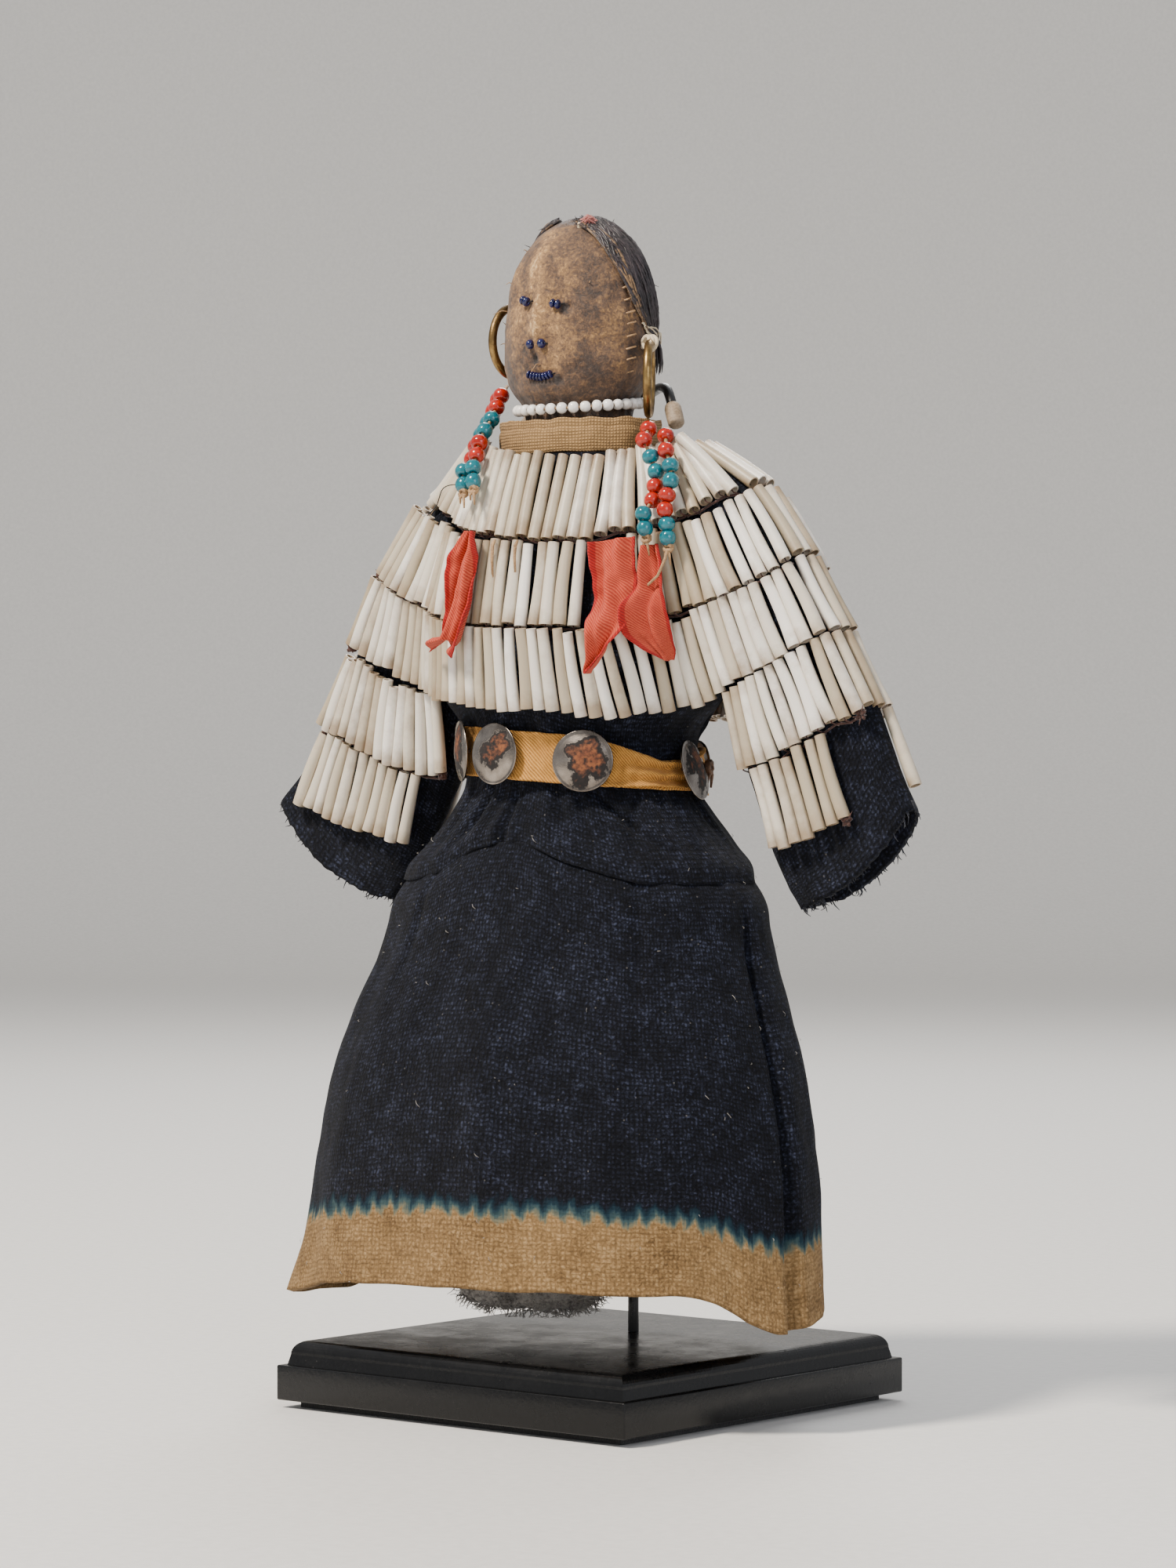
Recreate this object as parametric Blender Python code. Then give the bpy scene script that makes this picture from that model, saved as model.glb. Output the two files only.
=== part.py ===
"""A stuffed hide doll in a shell-sewn wool dress, standing on a moulded wooden base with a neck rod.

The figure faces -Y and its own left hand is at +X. The origin is the centre of the underside of
the base, on the table. Sizes are in millimetres, and MM turns them into metres.
"""
import math

import bmesh
import bpy
import numpy as np
from mathutils import Matrix, Vector

MM = 0.001
GAP = 0.35
CLOTH_GAP = 0.4
TRIM = 4.0
OVERCUT = 0.02

# Base of the stand
PLINTH_SIDE = 114.0
BAND_HEIGHT = 8.9
STEP_INSET = 2.6
COVE_HEIGHT = 2.6
TOP_INSET = 6.0
EASED_EDGE = 0.5
MOULDING_HEIGHT = 6.1
PAD_INSET = 4.4
PAD_HEIGHT = 2.0
FELT_GAP = 0.1
ROD_DIAMETER = 2.8
FORK_DIAMETER = 2.6
PRONG_PAD_DIAMETER = 4.4
PRONG_PAD_LENGTH = 5.5
ROD_BACK = 17.0
ROD_NECK_BACK = 8.9
ROD_STRAIGHT_TO = 148.0
ROD_SEAT = 6.0
SEAT_CLEARANCE = 0.2

# Cloth
CLOTH = 1.7
SKIRT_CLOTH = 2.0
COLLAR_CLOTH = 1.2
COLLAR_HEIGHT = 8.6
BELT_GAP = 0.7
BELT_THICKNESS = 1.4
BELT_WIDTH = 12.4
BELT_LEVEL = 162.6
BELT_TILT = 0.09
SLEEVE_FOLD = 2.3
SLEEVE_CENTRE = -3.6
RIBBON_THICKNESS = 0.7

# Trimmings
SHELL_LENGTH = 21.4
SHELL_DIAMETER = 3.5
SHELL_PITCH = 3.75
SHELL_GAP = 0.7
ROW_GAP = 0.5
DISC_DIAMETER = 15.6
DISC_THICKNESS = 1.2
DISC_STAND_OFF = 2.6
RING_DIAMETER = 20.0
RING_WIRE = 2.3
RING_STEPS = 18
STRING_BEAD = 4.2
NECK_BEAD = 2.9
FACE_BEAD = 2.0
BEAD_WAIST = 0.5
HAIR_THICKNESS = 1.8
HAIR_CURVE = 40.0
HAIR_WIDTH = 8.6
TUFT_RADIUS = 1.7

# Heights on the doll are measured from a level this far below the top of the base.
DATUM_BELOW_TOP = 15.0
PLINTH_TOP = PAD_HEIGHT + BAND_HEIGHT + MOULDING_HEIGHT
DATUM = PLINTH_TOP - DATUM_BELOW_TOP

# Dress and skirt: height, half width, half depth, centre in Y
GARMENT = [
    (15.0, 77.5, 45.0, -12.3),
    (36.0, 76.0, 44.0, -12.3),
    (61.0, 74.5, 43.0, -12.0),
    (84.4, 70.5, 40.5, -11.0),
    (97.4, 66.0, 38.0, -9.4),
    (111.5, 60.0, 34.5, -7.0),
    (130.0, 53.5, 31.0, -5.5),
    (140.0, 46.5, 28.5, -4.8),
    (150.0, 37.0, 25.6, -4.0),
    (156.0, 32.6, 24.2, -3.8),
    (163.0, 31.8, 23.8, -3.8),
    (172.0, 33.0, 25.2, -3.6),
    (177.0, 38.4, 28.2, -3.4),
    (183.0, 42.0, 30.2, -3.2),
    (196.0, 41.5, 29.6, -3.2),
    (207.0, 39.5, 28.0, -3.4),
    (218.0, 36.5, 25.4, -3.8),
    (229.0, 31.0, 21.6, -4.2),
    (240.0, 24.2, 17.9, -4.6),
]
BODICE_TOP = 240.0
BODICE_LEVELS = [146.0, 151.0, 156.0, 163.0, 172.0, 177.0, 183.0, 196.0, 207.0, 218.0, 229.0, BODICE_TOP]

# Collar band
COLLAR_HALF_WIDTH = 22.6
COLLAR_HALF_DEPTH = 16.4
COLLAR_CENTRE = -4.6

# Hide figure: height, half width, half depth, centre in Y
FIGURE = [
    (122.0, 28.0, 14.0, -3.0),
    (150.0, 27.0, 16.0, -2.8),
    (175.0, 28.0, 15.0, -4.5),
    (200.0, 29.0, 14.2, -6.2),
    (225.0, 25.0, 13.2, -6.4),
    (236.0, 17.5, 12.6, -6.0),
    (243.0, 14.8, 11.9, -5.2),
    (253.0, 14.2, 11.9, -5.0),
    (256.5, 15.8, 13.2, -4.8),
    (260.0, 18.8, 15.4, -4.4),
    (264.0, 20.4, 16.6, -4.2),
    (270.0, 20.4, 16.8, -4.0),
    (280.0, 19.4, 16.3, -3.9),
    (290.0, 16.2, 13.9, -3.6),
    (296.5, 11.4, 10.0, -3.2),
    (300.3, 5.6, 5.0, -3.0),
    (301.6, 1.6, 1.5, -3.0),
]

HEAD_SHIFT = -0.8

# Hair locks: angle round the head from +X towards +Y, height, and share of the full width
HAIR_LOCKS = {
    "hair_lock_left": [(-30.0, 300.4, 0.5), (0.0, 297.0, 0.8), (12.0, 290.0, 1.0), (20.0, 281.0, 1.0),
                       (26.0, 272.0, 0.7), (28.0, 267.5, 0.3)],
    "hair_lock_right": [(210.0, 300.4, 0.5), (186.0, 297.0, 0.8), (170.0, 290.0, 1.0), (154.0, 282.0, 1.0),
                        (142.0, 274.0, 0.7), (140.0, 269.5, 0.3)],
}
CROWN_TUFT = (-42.0, 298.4)

# Sleeves: share of the way to the cuff, then x and height of the outer fold and of the inner fold
SLEEVES = {
    "left": [
        (0.00, 25.6, 244.0, 25.6, 200.0),
        (0.16, 44.0, 238.0, 40.0, 186.0),
        (0.32, 59.0, 227.5, 52.5, 173.0),
        (0.48, 70.0, 212.0, 55.5, 160.0),
        (0.64, 80.5, 194.5, 59.5, 148.5),
        (0.80, 91.5, 175.0, 63.5, 139.5),
        (0.92, 97.8, 160.5, 68.0, 131.0),
        (1.00, 103.2, 150.2, 71.5, 126.5),
    ],
    "right": [
        (0.00, 25.6, 243.0, 25.6, 200.0),
        (0.16, 42.0, 233.5, 33.0, 186.0),
        (0.32, 55.0, 219.5, 37.5, 174.0),
        (0.48, 65.5, 206.0, 42.0, 161.0),
        (0.64, 75.0, 190.5, 47.5, 150.0),
        (0.80, 85.5, 172.5, 54.0, 139.5),
        (0.92, 94.5, 160.5, 60.0, 131.5),
        (1.00, 103.0, 152.0, 64.0, 126.5),
    ],
}
SIDE_SIGN = {"left": 1.0, "right": -1.0}
SLEEVE_SHARES = [0.0, 0.16, 0.32, 0.48, 0.64, 0.8, 0.92, 1.0]
SLEEVE_DEPTHS = [(0.0, 8.0), (0.14, 11.6), (0.3, 11.2), (0.6, 7.4), (1.0, 4.6)]
CUFF_BOW = 4.6

# Hip seam and hem: angle round the skirt in degrees from +X towards +Y, then height
HIP_SEAM = [
    (-180.0, 133.0),
    (-121.0, 134.5),
    (-105.0, 140.5),
    (-88.0, 142.5),
    (-65.0, 137.0),
    (-40.0, 132.5),
    (-13.0, 132.5),
    (60.0, 133.0),
    (180.0, 133.0),
]
HEM = [
    (-180.0, 24.0),
    (-155.0, 24.8),
    (-130.0, 29.5),
    (-111.0, 31.4),
    (-80.0, 32.6),
    (-42.0, 33.0),
    (-30.0, 31.6),
    (-18.0, 26.0),
    (-9.0, 23.2),
    (2.0, 24.6),
    (20.0, 27.0),
    (90.0, 28.0),
    (180.0, 24.0),
]
CORNER_ANGLE = -155.0
CORNER_FLARE = 7.0
CORNER_SPREAD = 13.0
PLEAT_ANGLE = -4.0
PLEAT_DEPTH = 2.6
PLEAT_SPREAD = 3.0

# First row of shells: lower ends as x and the rise above a shell's length below the neckline
FIRST_ROW = [(-46.0, 11.4), (-37.0, 9.0), (-27.0, 5.0), (-6.0, 0.6), (9.5, -0.8), (22.0, -0.6),
             (33.0, 2.0), (41.0, 4.8), (49.0, 7.0), (56.0, 11.0)]

# Shell rows: lower ends as x and height, over the chest and shoulders and then on each sleeve
YOKE_ROWS = {
    1: [(x, BODICE_TOP - SHELL_LENGTH + rise) for x, rise in FIRST_ROW],
    2: [(-62.0, 211.6), (-44.0, 203.9), (-14.4, 197.4), (7.7, 195.9), (24.0, 195.8), (41.0, 198.8),
        (52.5, 202.1), (62.5, 205.9), (74.0, 212.4)],
    3: [(-73.5, 194.6), (-57.3, 187.1), (-41.6, 181.2), (-18.0, 177.0), (11.0, 174.4), (24.0, 173.4),
        (34.0, 173.8), (45.0, 176.0), (56.0, 180.8), (70.6, 187.6), (83.0, 194.0)],
}
SLEEVE_ROWS = {
    ("left", 4): [(55.5, 159.6), (69.3, 163.6), (81.0, 169.8), (93.6, 174.9)],
    ("left", 5): [(64.7, 139.9), (77.9, 143.8), (90.1, 149.3)],
    ("right", 4): [(-83.5, 171.9), (-68.0, 166.0), (-52.0, 160.2), (-40.5, 159.4)],
    ("right", 5): [(-94.2, 152.3), (-77.6, 146.4), (-59.8, 142.2), (-54.0, 141.2)],
}

# Lean of the shells in each row, in degrees, from one end of the row to the other
YOKE_TILTS = {
    1: [(-46.0, -47.0), (-34.0, -28.0), (-20.0, -9.0), (0.0, 0.0), (20.0, 5.0), (34.0, 22.0), (56.0, 50.0)],
    2: [(-62.0, -38.0), (-44.0, -20.0), (-22.0, -4.0), (0.0, 0.0), (24.0, 2.0), (44.0, 16.0), (60.0, 28.0),
        (74.0, 35.0)],
    3: [(-73.5, -30.0), (-50.0, -14.0), (-30.0, -4.0), (0.0, 0.0), (36.0, 3.0), (54.0, 14.0), (83.0, 29.0)],
}
SLEEVE_TILTS = {
    ("left", 4): [(55.0, 6.0), (70.0, 18.0), (93.0, 27.0)],
    ("left", 5): [(64.0, 16.0), (90.0, 18.0)],
    ("right", 4): [(-83.5, -28.0), (-64.0, -16.0), (-41.0, -3.0)],
    ("right", 5): [(-94.0, -28.0), (-80.0, -22.0), (-55.0, -20.0)],
}

# Discs on the belt: angle round the waist in degrees
DISC_ANGLES = [-126.0, -99.0, -56.0, 0.5, 60.0, 108.0, 165.0]
KNOT_ANGLE = 20.0

# Strings of beads: x, Y where it hangs free or None where it lies on the shells, and height
STRINGS = {
    "bead_string_right_front": [(-24.5, -7.0, 257.0), (-23.5, -10.0, 253.8), (-21.8, -14.0, 250.4),
                                (-19.5, -19.4, 247.0), (-17.5, -23.8, 243.6), (-15.8, -26.8, 240.2),
                                (-14.2, None, 236.8), (-13.0, None, 233.2)],
    "bead_string_right_back": [(-28.6, -4.7, 256.0), (-27.6, -7.7, 252.8), (-26.2, -12.8, 249.4),
                               (-23.8, -17.6, 246.0), (-21.8, -22.0, 242.6), (-20.2, -25.4, 239.2),
                               (-18.6, None, 235.8), (-17.4, None, 232.2)],
    "bead_string_left_front": [(29.4, -13.4, 245.4), (32.4, -19.0, 242.2), (34.4, None, 238.0),
                               (36.0, None, 234.2), (36.6, None, 230.5), (36.5, None, 227.0),
                               (37.1, None, 223.4), (37.5, None, 219.8)],
    "bead_string_left_back": [(34.6, -13.0, 243.4), (38.2, None, 239.4), (40.6, None, 235.5),
                              (41.8, None, 231.6), (41.6, None, 228.0), (41.6, None, 224.4),
                              (42.2, None, 220.8), (42.5, None, 217.4)],
}

# Ribbons: left edge and right edge at each level, as x and height
RIBBONS = {
    "ribbon_right": [((-12.0, 219.8), (-8.0, 220.2)), ((-13.4, 212.0), (-6.0, 212.4)),
                     ((-13.6, 204.0), (-5.4, 204.4)), ((-15.0, 195.4), (-6.4, 196.4)),
                     ((-20.6, 189.6), (-9.0, 188.0))],
    "ribbon_left_front": [((27.0, 216.4), (36.2, 217.0)), ((28.2, 208.0), (36.8, 208.6)),
                          ((29.2, 200.0), (37.6, 200.0)), ((30.6, 191.6), (35.4, 193.2)),
                          ((29.6, 184.6), (31.4, 186.0))],
    "ribbon_left_back": [((37.8, 214.6), (43.2, 214.6)), ((38.6, 206.0), (45.4, 206.4)),
                         ((39.4, 198.0), (46.2, 198.4)), ((39.4, 191.4), (45.4, 191.0)),
                         ((42.0, 187.2), (44.2, 187.0))],
}


def smooth_at(table, t):
    """The values at t on a smooth curve through a table whose first column is t."""
    rows = np.array(table, dtype=float)
    xs, ys = rows[:, 0], rows[:, 1:]
    t = min(max(t, xs[0]), xs[-1])
    i = min(int(np.searchsorted(xs, t, side="right")) - 1, len(xs) - 2)
    steps = np.diff(xs)
    chords = np.diff(ys, axis=0) / steps[:, None]
    slopes = np.vstack([chords[:1], (chords[:-1] + chords[1:]) / 2, chords[-1:]])
    slopes[1:-1][chords[:-1] * chords[1:] <= 0] = 0.0
    h = steps[i]
    k = (t - xs[i]) / h
    start = ys[i] * (1 + 2 * k) * (1 - k) ** 2 + slopes[i] * h * k * (1 - k) ** 2
    end = ys[i + 1] * k * k * (3 - 2 * k) + slopes[i + 1] * h * k * k * (k - 1)
    return start + end


def value_at(table, t):
    return float(smooth_at(table, t)[0])


def path_at(points, count):
    """Points spaced evenly along a smooth curve through a list of points."""
    points = np.array(points, dtype=float)
    reach = np.concatenate([[0.0], np.cumsum(np.linalg.norm(np.diff(points, axis=0), axis=1))])
    table = np.column_stack([reach, points])
    return [smooth_at(table, s) for s in np.linspace(0.0, reach[-1], count)]


# Surfaces of the dress

def polyline_distance(points, x, z):
    """How far a point of the XZ plane is from a line through points."""
    p = np.array([x, z])
    starts, ends = points[:-1], points[1:]
    runs = ends - starts
    share = np.clip(((p - starts) * runs).sum(axis=1) / (runs * runs).sum(axis=1), 0.0, 1.0)
    near = starts + runs * share[:, None]
    return float(np.linalg.norm(near - p, axis=1).min())


def sleeve_folds(side):
    rows = np.array(SLEEVES[side])
    return rows[:, 1:3], rows[:, 3:5]


def sleeve_half_depth(side, x, z):
    """Half the depth of a sleeve at a point of its outline, with x measured outwards."""
    outer, inner = sleeve_folds(side)
    to_outer = polyline_distance(outer, x, z)
    to_inner = polyline_distance(inner, x, z)
    across = to_inner / max(to_inner + to_outer, 1e-6)
    top = (outer[0] + inner[0]) / 2
    axis = (outer[-1] + inner[-1]) / 2 - top
    along = float(np.dot(np.array([x, z]) - top, axis) / np.dot(axis, axis))
    depth = value_at(SLEEVE_DEPTHS, along)
    round_off = math.sqrt(max(0.0, 1.0 - abs(2 * across - 1) ** 2.6))
    return SLEEVE_FOLD + (depth - SLEEVE_FOLD) * round_off


def bodice_half_depth(x, z):
    half_width, half_depth, _ = smooth_at(GARMENT, z)
    return half_depth * math.sqrt(max(0.0, 1.0 - (x / half_width) ** 2))


def inside_sleeve_reach(side, x, z):
    outer, inner = sleeve_folds(side)
    return x >= outer[0][0] and z >= inner[-1][1] - CLOTH


def dress_surface(x, z, face):
    """Y of the dress at a point of its outline. Face is -1 at the front and 1 at the back."""
    centre = float(smooth_at(GARMENT, z)[2])
    y = centre + face * bodice_half_depth(x, z)
    side = "left" if x > 0 else "right"
    if inside_sleeve_reach(side, abs(x), z):
        y_sleeve = SLEEVE_CENTRE + face * sleeve_half_depth(side, abs(x), z)
        y = max(y, y_sleeve) if face > 0 else min(y, y_sleeve)
    return y


# Building blocks

def new_material(name, color, roughness, metallic=0.0):
    material = bpy.data.materials.new(name)
    material.use_nodes = True
    shader = material.node_tree.nodes["Principled BSDF"]
    shader.inputs["Base Color"].default_value = (*color, 1.0)
    shader.inputs["Roughness"].default_value = roughness
    shader.inputs["Metallic"].default_value = metallic
    material.diffuse_color = (*color, 1.0)
    return material


def add_object(name, bm, material, collection=None, smooth_angle=35.0):
    bmesh.ops.recalc_face_normals(bm, faces=bm.faces)
    mesh = bpy.data.meshes.new(name)
    bm.to_mesh(mesh)
    bm.free()
    mesh.materials.append(material)
    mesh.shade_smooth()
    mesh.set_sharp_from_angle(angle=math.radians(smooth_angle))
    new_object = bpy.data.objects.new(name, mesh)
    (collection or PARTS).objects.link(new_object)
    return new_object


def lift(point):
    """A point of the doll in metres, above the table."""
    return Vector((point[0] * MM, point[1] * MM, (point[2] + DATUM) * MM))


def bridge(bm, lower, upper, closed=True):
    count = len(lower)
    for i in range(count if closed else count - 1):
        j = (i + 1) % count
        bm.faces.new((lower[i], lower[j], upper[j], upper[i]))


def loft(rings, caps=True):
    """A mesh through rings of points, closed at both ends."""
    bm = bmesh.new()
    loops = [[bm.verts.new(lift(point)) for point in ring] for ring in rings]
    for lower, upper in zip(loops, loops[1:]):
        bridge(bm, lower, upper)
    if caps:
        bm.faces.new(loops[0])
        bm.faces.new(loops[-1])
    return bm


def tube(outer_rings, inner_rings):
    """A hollow mesh between an outer and an inner stack of rings, open at both ends."""
    bm = bmesh.new()
    outer = [[bm.verts.new(lift(point)) for point in ring] for ring in outer_rings]
    inner = [[bm.verts.new(lift(point)) for point in ring] for ring in inner_rings]
    for stack in (outer, inner):
        for lower, upper in zip(stack, stack[1:]):
            bridge(bm, lower, upper)
    bridge(bm, outer[0], inner[0])
    bridge(bm, outer[-1], inner[-1])
    return bm


def angles_round(count):
    return [2 * math.pi * i / count - math.pi for i in range(count)]


def ellipse_ring(z, half_width, half_depth, centre_y, count, centre_x=0.0):
    return [(centre_x + half_width * math.cos(a), centre_y + half_depth * math.sin(a), z)
            for a in angles_round(count)]


def closed_by_boolean(base, others, operation):
    for other in others:
        modifier = base.modifiers.new(other.name, "BOOLEAN")
        modifier.operation = operation
        modifier.solver = "EXACT"
        modifier.object = other
        other.hide_render = True
        other.display_type = "WIRE"


# Stand

def square_ring(half, z):
    return [(-half, -half, z), (half, -half, z), (half, half, z), (-half, half, z)]


def plinth_profile():
    """Half side and height up the moulded edge of the base."""
    half = PLINTH_SIDE / 2
    band_top = PAD_HEIGHT + BAND_HEIGHT
    cove_top = band_top + COVE_HEIGHT
    rise = PLINTH_TOP - cove_top
    run = TOP_INSET - STEP_INSET
    rows = [(half - EASED_EDGE, PAD_HEIGHT), (half, PAD_HEIGHT + EASED_EDGE)]
    rows += [(half, band_top - EASED_EDGE), (half - EASED_EDGE, band_top)]
    rows += [(half - STEP_INSET, band_top), (half - STEP_INSET, cove_top)]
    for i in range(1, 5):
        turn = math.radians(90 * i / 4)
        rows.append((half - STEP_INSET - run * (1 - math.cos(turn)), cove_top + rise * math.sin(turn)))
    return rows


def build_plinth():
    wood = new_material("black_lacquered_wood", (0.008, 0.008, 0.009), 0.22)
    rings = [[(x, y, z - DATUM) for x, y, z in square_ring(half, z)] for half, z in plinth_profile()]
    plinth = add_object("plinth", loft(rings), wood)
    socket = bmesh.new()
    seat = PLINTH_TOP - ROD_SEAT
    depth = ROD_SEAT + TRIM
    radius = ROD_DIAMETER / 2 + SEAT_CLEARANCE
    place = Matrix.Translation(Vector((0.0, ROD_BACK, seat + depth / 2)) * MM)
    bmesh.ops.create_cone(socket, cap_ends=True, segments=16, radius1=radius * MM, radius2=radius * MM,
                          depth=depth * MM, matrix=place)
    cutter = add_object("rod_socket_cutter", socket, wood, CUTTERS)
    closed_by_boolean(plinth, [cutter], "DIFFERENCE")

    felt = new_material("black_felt", (0.01, 0.01, 0.01), 0.95)
    half = PLINTH_SIDE / 2 - PAD_INSET
    levels = (0.0, PAD_HEIGHT - FELT_GAP)
    pad_rings = [[(x, y, z - DATUM) for x, y, z in square_ring(half, z)] for z in levels]
    add_object("foot_pad", loft(pad_rings), felt)


def sweep(points, radius, name, material, sides=2, taper=None):
    """A round bar along a path, as a curve with filled caps."""
    curve = bpy.data.curves.new(name, "CURVE")
    curve.dimensions = "3D"
    curve.bevel_depth = radius * MM
    curve.bevel_resolution = sides
    curve.use_fill_caps = True
    line = curve.splines.new("POLY")
    line.points.add(len(points) - 1)
    for i, point in enumerate(points):
        line.points[i].co = (*lift(point), 1.0)
        if taper:
            line.points[i].radius = taper[i]
    curve.materials.append(material)
    PARTS.objects.link(bpy.data.objects.new(name, curve))


def rod_path():
    foot = DATUM_BELOW_TOP - ROD_SEAT + SEAT_CLEARANCE
    return [(0.0, ROD_BACK, foot), (0.0, ROD_BACK, 60.0), (0.0, ROD_BACK, ROD_STRAIGHT_TO - 12.0),
            (0.0, ROD_BACK - 0.3, ROD_STRAIGHT_TO), (0.0, ROD_NECK_BACK + 4.0, 184.0),
            (0.0, ROD_NECK_BACK + 1.6, 212.0), (0.0, ROD_NECK_BACK + 0.2, 232.0),
            (0.0, ROD_NECK_BACK, 240.0), (0.0, ROD_NECK_BACK, 249.2), (0.0, ROD_NECK_BACK + 0.8, 251.0),
            (0.0, ROD_NECK_BACK + 2.2, 252.7)]


def fork_path():
    half = [(0.0, 13.4, 255.0), (5.0, 13.3, 255.8), (10.0, 12.2, 257.2), (14.6, 9.8, 258.0),
            (18.4, 7.6, 257.4), (21.2, 5.6, 255.0), (23.0, 4.4, 252.2)]
    return [(-x, y, z) for x, y, z in reversed(half[1:])] + half


def build_stand_metal():
    steel = new_material("blackened_steel", (0.02, 0.02, 0.022), 0.35, 1.0)
    sweep(rod_path(), ROD_DIAMETER / 2, "stand_rod", steel, sides=2)
    fork = path_at(fork_path(), 19)
    sweep(fork, FORK_DIAMETER / 2, "neck_fork", steel, sides=1)
    tan = new_material("tan_tubing", (0.27, 0.19, 0.11), 0.6)
    tips = {"prong_pad_left": (fork[-1], fork[-2]), "prong_pad_right": (fork[0], fork[1])}
    for name, (tip, before) in tips.items():
        direction = Vector(tip - before).normalized()
        start = Vector(tip) + direction * GAP
        end = start + direction * PRONG_PAD_LENGTH
        run = [start, start + direction * EASED_EDGE, end - direction * EASED_EDGE, end]
        sweep(run, PRONG_PAD_DIAMETER / 2, name, tan, taper=[0.82, 1.0, 1.0, 0.8])


# Figure

def head_shift(z):
    return HEAD_SHIFT * min(1.0, max(0.0, (z - 250.0) / 15.0))


def figure_ring(z, count=14):
    half_width, half_depth, centre = smooth_at(FIGURE, z)
    return ellipse_ring(z, half_width, half_depth, centre, count, head_shift(z))


def head_point(angle, z, out=0.0):
    """A point beside the head, out from its surface, with the angle from +X towards +Y in degrees."""
    half_width, half_depth, centre = smooth_at(FIGURE, z)
    a = math.radians(angle)
    side = Vector((half_width * math.cos(a), half_depth * math.sin(a)))
    normal = Vector((math.cos(a) / half_width, math.sin(a) / half_depth)).normalized()
    return (head_shift(z) + side.x + normal.x * out, centre + side.y + normal.y * out, z)


def build_figure():
    hide = new_material("worn_hide", (0.25, 0.15, 0.085), 0.8)
    levels = [122.0, 136.0, 150.0, 175.0, 200.0, 214.0, 225.0, 236.0, 243.0, 253.0, 256.5, 262.0, 270.0,
              280.0, 286.0, 291.0, 296.5, 300.3, 301.6]
    add_object("hide_figure", loft([figure_ring(z) for z in levels]), hide, smooth_angle=60.0)


def head_frame(angle, z):
    """A point of the head's surface and its outward normal."""
    step = 0.5
    level = Vector(head_point(angle + step, z)) - Vector(head_point(angle - step, z))
    upward = Vector(head_point(angle, z + step)) - Vector(head_point(angle, z - step))
    return Vector(head_point(angle, z)), level.cross(upward).normalized()


def build_hair():
    hair = new_material("dark_hair", (0.018, 0.014, 0.014), 0.45)
    for name, route in HAIR_LOCKS.items():
        rings = []
        for angle, z, share in path_at(route, 9):
            here, normal = head_frame(angle, z)
            half = HAIR_WIDTH / 2 * share
            sideways_axis = normal.cross(Vector((0.0, 0.0, -1.0))).normalized()
            ring = []
            for turn in angles_round(8):
                sideways = half * math.cos(turn)
                base = here + sideways_axis * sideways
                sag = sideways * sideways / HAIR_CURVE
                rise = CLOTH_GAP * 1.5 + HAIR_THICKNESS * share * (0.5 + 0.5 * math.sin(turn))
                ring.append(base + normal * (rise - sag))
            rings.append(ring)
        add_object(name, loft(rings), hair, smooth_angle=70.0)
    pink = new_material("pink_wool", (0.45, 0.13, 0.12), 0.9)
    tuft = bmesh.new()
    here, normal = head_frame(*CROWN_TUFT)
    place = Matrix.Translation(lift(here + normal * (TUFT_RADIUS + GAP)))
    bmesh.ops.create_uvsphere(tuft, u_segments=8, v_segments=5, radius=TUFT_RADIUS * MM, matrix=place)
    add_object("crown_tuft", tuft, pink)


def bead_run(path, radius, sides=6, closed=False):
    """Touching beads along a path, as one solid that narrows between them."""
    path = [Vector(point) for point in path]
    rings = []
    last = len(path) - 1
    for i, point in enumerate(path):
        before = path[i - 1] if i > 0 or closed else point
        after = path[(i + 1) % len(path)] if i < last or closed else point
        run = (after - before).normalized()
        across = run.cross(Vector((0.0, 0.0, 1.0)))
        if across.length < 0.05:
            across = run.cross(Vector((1.0, 0.0, 0.0)))
        across.normalize()
        other = run.cross(across).normalized()
        half = (after - before).length / (4 if i > 0 and i < last or closed else 2)
        shifts = [(0.0, 1.0), (half, BEAD_WAIST)]
        if i == 0 and not closed:
            shifts.insert(0, (-half, BEAD_WAIST))
        for shift, size in shifts:
            centre = point + run * shift
            rings.append([centre + (across * math.cos(a) + other * math.sin(a)) * radius * size
                          for a in angles_round(sides)])
    if closed:
        bm = loft(rings, caps=False)
        bm.verts.ensure_lookup_table()
        first = bm.verts[:sides]
        final = bm.verts[-sides:]
        bridge(bm, final, first)
        return bm
    return loft(rings)


def build_face():
    glass = new_material("dark_blue_glass", (0.012, 0.016, 0.15), 0.15)
    out = FACE_BEAD / 2 + GAP
    pairs = {
        "eye_beads_left": [(-76.5, 277.9), (-70.5, 277.6)],
        "eye_beads_right": [(-104.5, 279.0), (-98.5, 279.0)],
        "nostril_bead_left": [(-84.4, 268.8), (-84.2, 267.0)],
        "nostril_bead_right": [(-94.4, 268.8), (-94.2, 267.0)],
        "mouth_beads": [(-99.0, 260.6), (-95.0, 260.0), (-91.0, 259.6), (-86.8, 259.6), (-82.6, 260.0),
                        (-78.8, 260.6)],
    }
    for name, places in pairs.items():
        path = [head_point(angle, z, out) for angle, z in places]
        add_object(name, bead_run(path, FACE_BEAD / 2), glass)


def ring_point(centre, heading, radius, turn):
    return (centre[0] + math.cos(heading) * radius * math.cos(turn),
            centre[1] + math.sin(heading) * radius * math.cos(turn),
            centre[2] + radius * math.sin(turn))


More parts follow.
